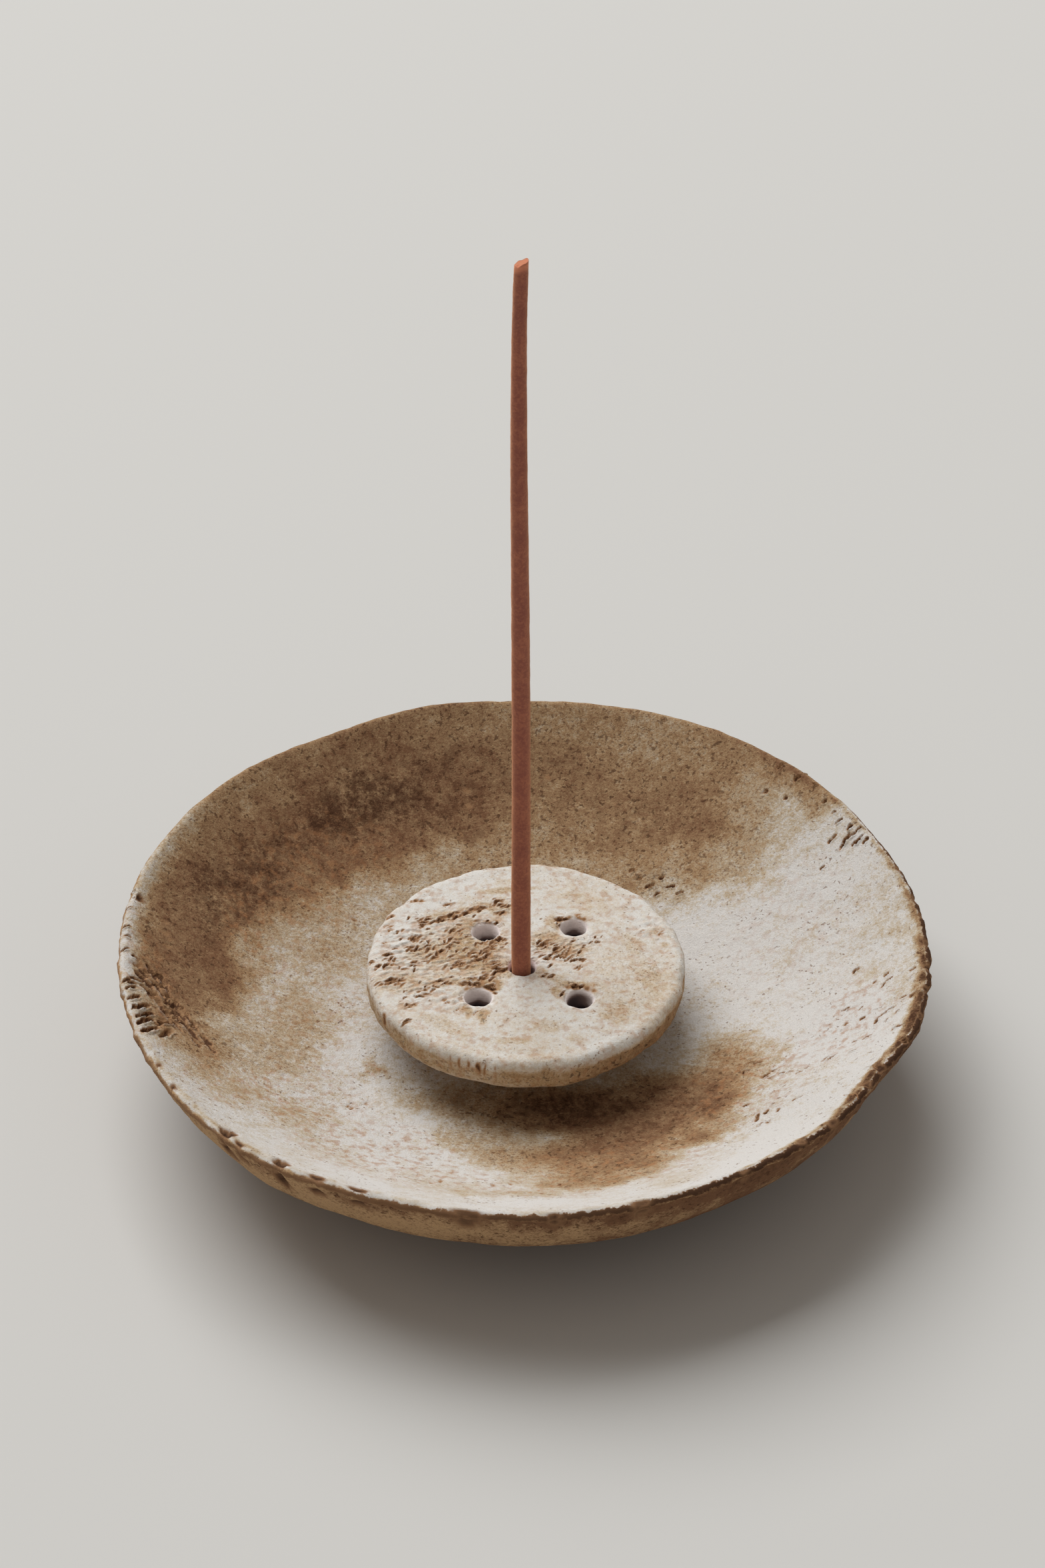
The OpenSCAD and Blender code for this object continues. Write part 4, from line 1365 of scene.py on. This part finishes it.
def incense_material(stick):
    """Dark red-brown pressed paste with a bloom of powder."""
    material, wires, shader, where = new_material("pressed_incense", 0.9, 0.15)
    shader.inputs["Sheen Weight"].default_value = 1.0
    shader.inputs["Sheen Roughness"].default_value = 0.5
    shader.inputs["Sheen Tint"].default_value = (1.0, 0.52, 0.28, 1.0)
    grit = wires.noise(where, 2.4, 4.0, 0.8)
    clouds = wires.noise(where, 0.35, 3.0, 0.6)
    powder = wires.plus(wires.times(grit, 0.8), wires.times(clouds, 0.4))
    share = wires.times(wires.span(powder, 0.48, 0.76), 0.75)
    colour_now = wires.blend(share, stick.paste, stick.powder)
    fresh = [1.5 * part for part in stick.powder]
    colour_now = wires.blend(wires.attribute("broken"), colour_now, fresh)
    surface(wires, shader, colour_now, grit, 0.12, 0.7)
    return material


def floor_material(stage):
    """A plain, matt, pale floor."""
    material, _, shader, _ = new_material("plain_pale_floor", 1.0, 0.0)
    shader.inputs["Base Color"].default_value = (*stage.floor, 1.0)
    return material


# ---- Stage ----

FLOOR_SIZE = 6.0
WINDOW_SIZE = 3.3
WINDOW_PLACE = (-1.25, 1.98, 3.20)
WINDOW_COLOUR = (0.97, 0.985, 1.0)
SKY_COLOUR = (1.0, 0.94, 0.87, 1.0)
AIM = (0.0, 0.0, 0.015)


def pointed(thing, target):
    """Turns an object so that its -Z axis points at the target."""
    way = Vector(target) - thing.location
    thing.rotation_euler = way.to_track_quat("-Z", "Y").to_euler()


def build_floor(stage):
    bm = bmesh.new()
    bmesh.ops.create_grid(bm, x_segments=1, y_segments=1, size=FLOOR_SIZE / 2)
    floor = as_object("stage_floor", bm)
    floor.data.materials.append(floor_material(stage))


def build_light(stage):
    lamp = bpy.data.lights.new("window", "AREA")
    lamp.shape = "SQUARE"
    lamp.size = WINDOW_SIZE
    lamp.energy = stage.window
    lamp.color = WINDOW_COLOUR
    window = bpy.data.objects.new("window", lamp)
    window.location = WINDOW_PLACE
    pointed(window, AIM)
    bpy.context.scene.collection.objects.link(window)
    world = bpy.data.worlds.new("soft_room")
    world.use_nodes = True
    sky = world.node_tree.nodes["Background"]
    sky.inputs["Color"].default_value = SKY_COLOUR
    sky.inputs["Strength"].default_value = stage.sky
    bpy.context.scene.world = world


def build_camera(stage):
    lens = bpy.data.cameras.new("camera")
    lens.lens = stage.lens
    lens.sensor_width = 36.0
    lens.clip_start, lens.clip_end = 0.01, 20.0
    camera = bpy.data.objects.new("camera", lens)
    camera.location = stage.camera_place
    camera.rotation_euler = (math.pi / 2 - stage.camera_dip, 0.0, 0.0)
    bpy.context.scene.collection.objects.link(camera)
    bpy.context.scene.camera = camera


# ---- Operators, panel and registration ----


def slip_group():
    """The slip's node group, made on first use."""
    return bpy.data.node_groups.get("Stippled slip") or stippled_slip_group()


class BURNER_OT_stage(Operator):
    """Sets up the floor, the soft light and the camera"""

    bl_idname = "burner.stage"
    bl_label = "Set the Stage"

    def execute(self, context):
        stage = context.scene.burner_stage
        context.scene.view_settings.view_transform = "Standard"
        build_floor(stage)
        build_light(stage)
        build_camera(stage)
        return {"FINISHED"}


class BURNER_OT_dish(Operator):
    """Models the worn clay dish"""

    bl_idname = "burner.dish"
    bl_label = "Make the Dish"

    def execute(self, context):
        dish = context.scene.burner_dish
        material = clay_dish_material(dish, slip_group())
        finish_piece(build_dish(dish), "dish", "dish", material)
        return {"FINISHED"}


class BURNER_OT_holder(Operator):
    """Models the pierced and torn stick holder"""

    bl_idname = "burner.holder"
    bl_label = "Make the Stick Holder"

    def execute(self, context):
        holder = context.scene.burner_holder
        material = clay_holder_material(holder, slip_group())
        finish_piece(build_holder(holder), "stick_holder", "holder", material)
        return {"FINISHED"}


class BURNER_OT_stick(Operator):
    """Models the incense stick"""

    bl_idname = "burner.stick"
    bl_label = "Make the Incense Stick"

    def execute(self, context):
        stick = context.scene.burner_stick
        material = incense_material(stick)
        finish_piece(build_stick(stick), "incense_stick", "stick", material)
        return {"FINISHED"}


class BURNER_PT_panel(Panel):
    """Lists the steps that make the burner"""

    bl_idname = "BURNER_PT_panel"
    bl_label = "Incense Burner"
    bl_space_type = "VIEW_3D"
    bl_region_type = "UI"
    bl_category = "Incense Burner"

    def draw(self, context):
        for operator in OPERATORS:
            self.layout.operator(operator.bl_idname)


OPERATORS = (BURNER_OT_stage, BURNER_OT_dish, BURNER_OT_holder, BURNER_OT_stick)
SETTINGS = {
    "burner_dish": DishSettings,
    "burner_holder": HolderSettings,
    "burner_stick": StickSettings,
    "burner_stage": StageSettings,
}


def register():
    for cls in (*SETTINGS.values(), *OPERATORS, BURNER_PT_panel):
        bpy.utils.register_class(cls)
    for name, cls in SETTINGS.items():
        setattr(bpy.types.Scene, name, PointerProperty(type=cls))


def unregister():
    for name in SETTINGS:
        delattr(bpy.types.Scene, name)
    for cls in (BURNER_PT_panel, *OPERATORS, *SETTINGS.values()):
        bpy.utils.unregister_class(cls)


def main():
    """Registers the add-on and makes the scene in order."""
    register()
    bpy.ops.burner.stage()
    bpy.ops.burner.dish()
    bpy.ops.burner.holder()
    bpy.ops.burner.stick()


if __name__ == "__main__":
    main()
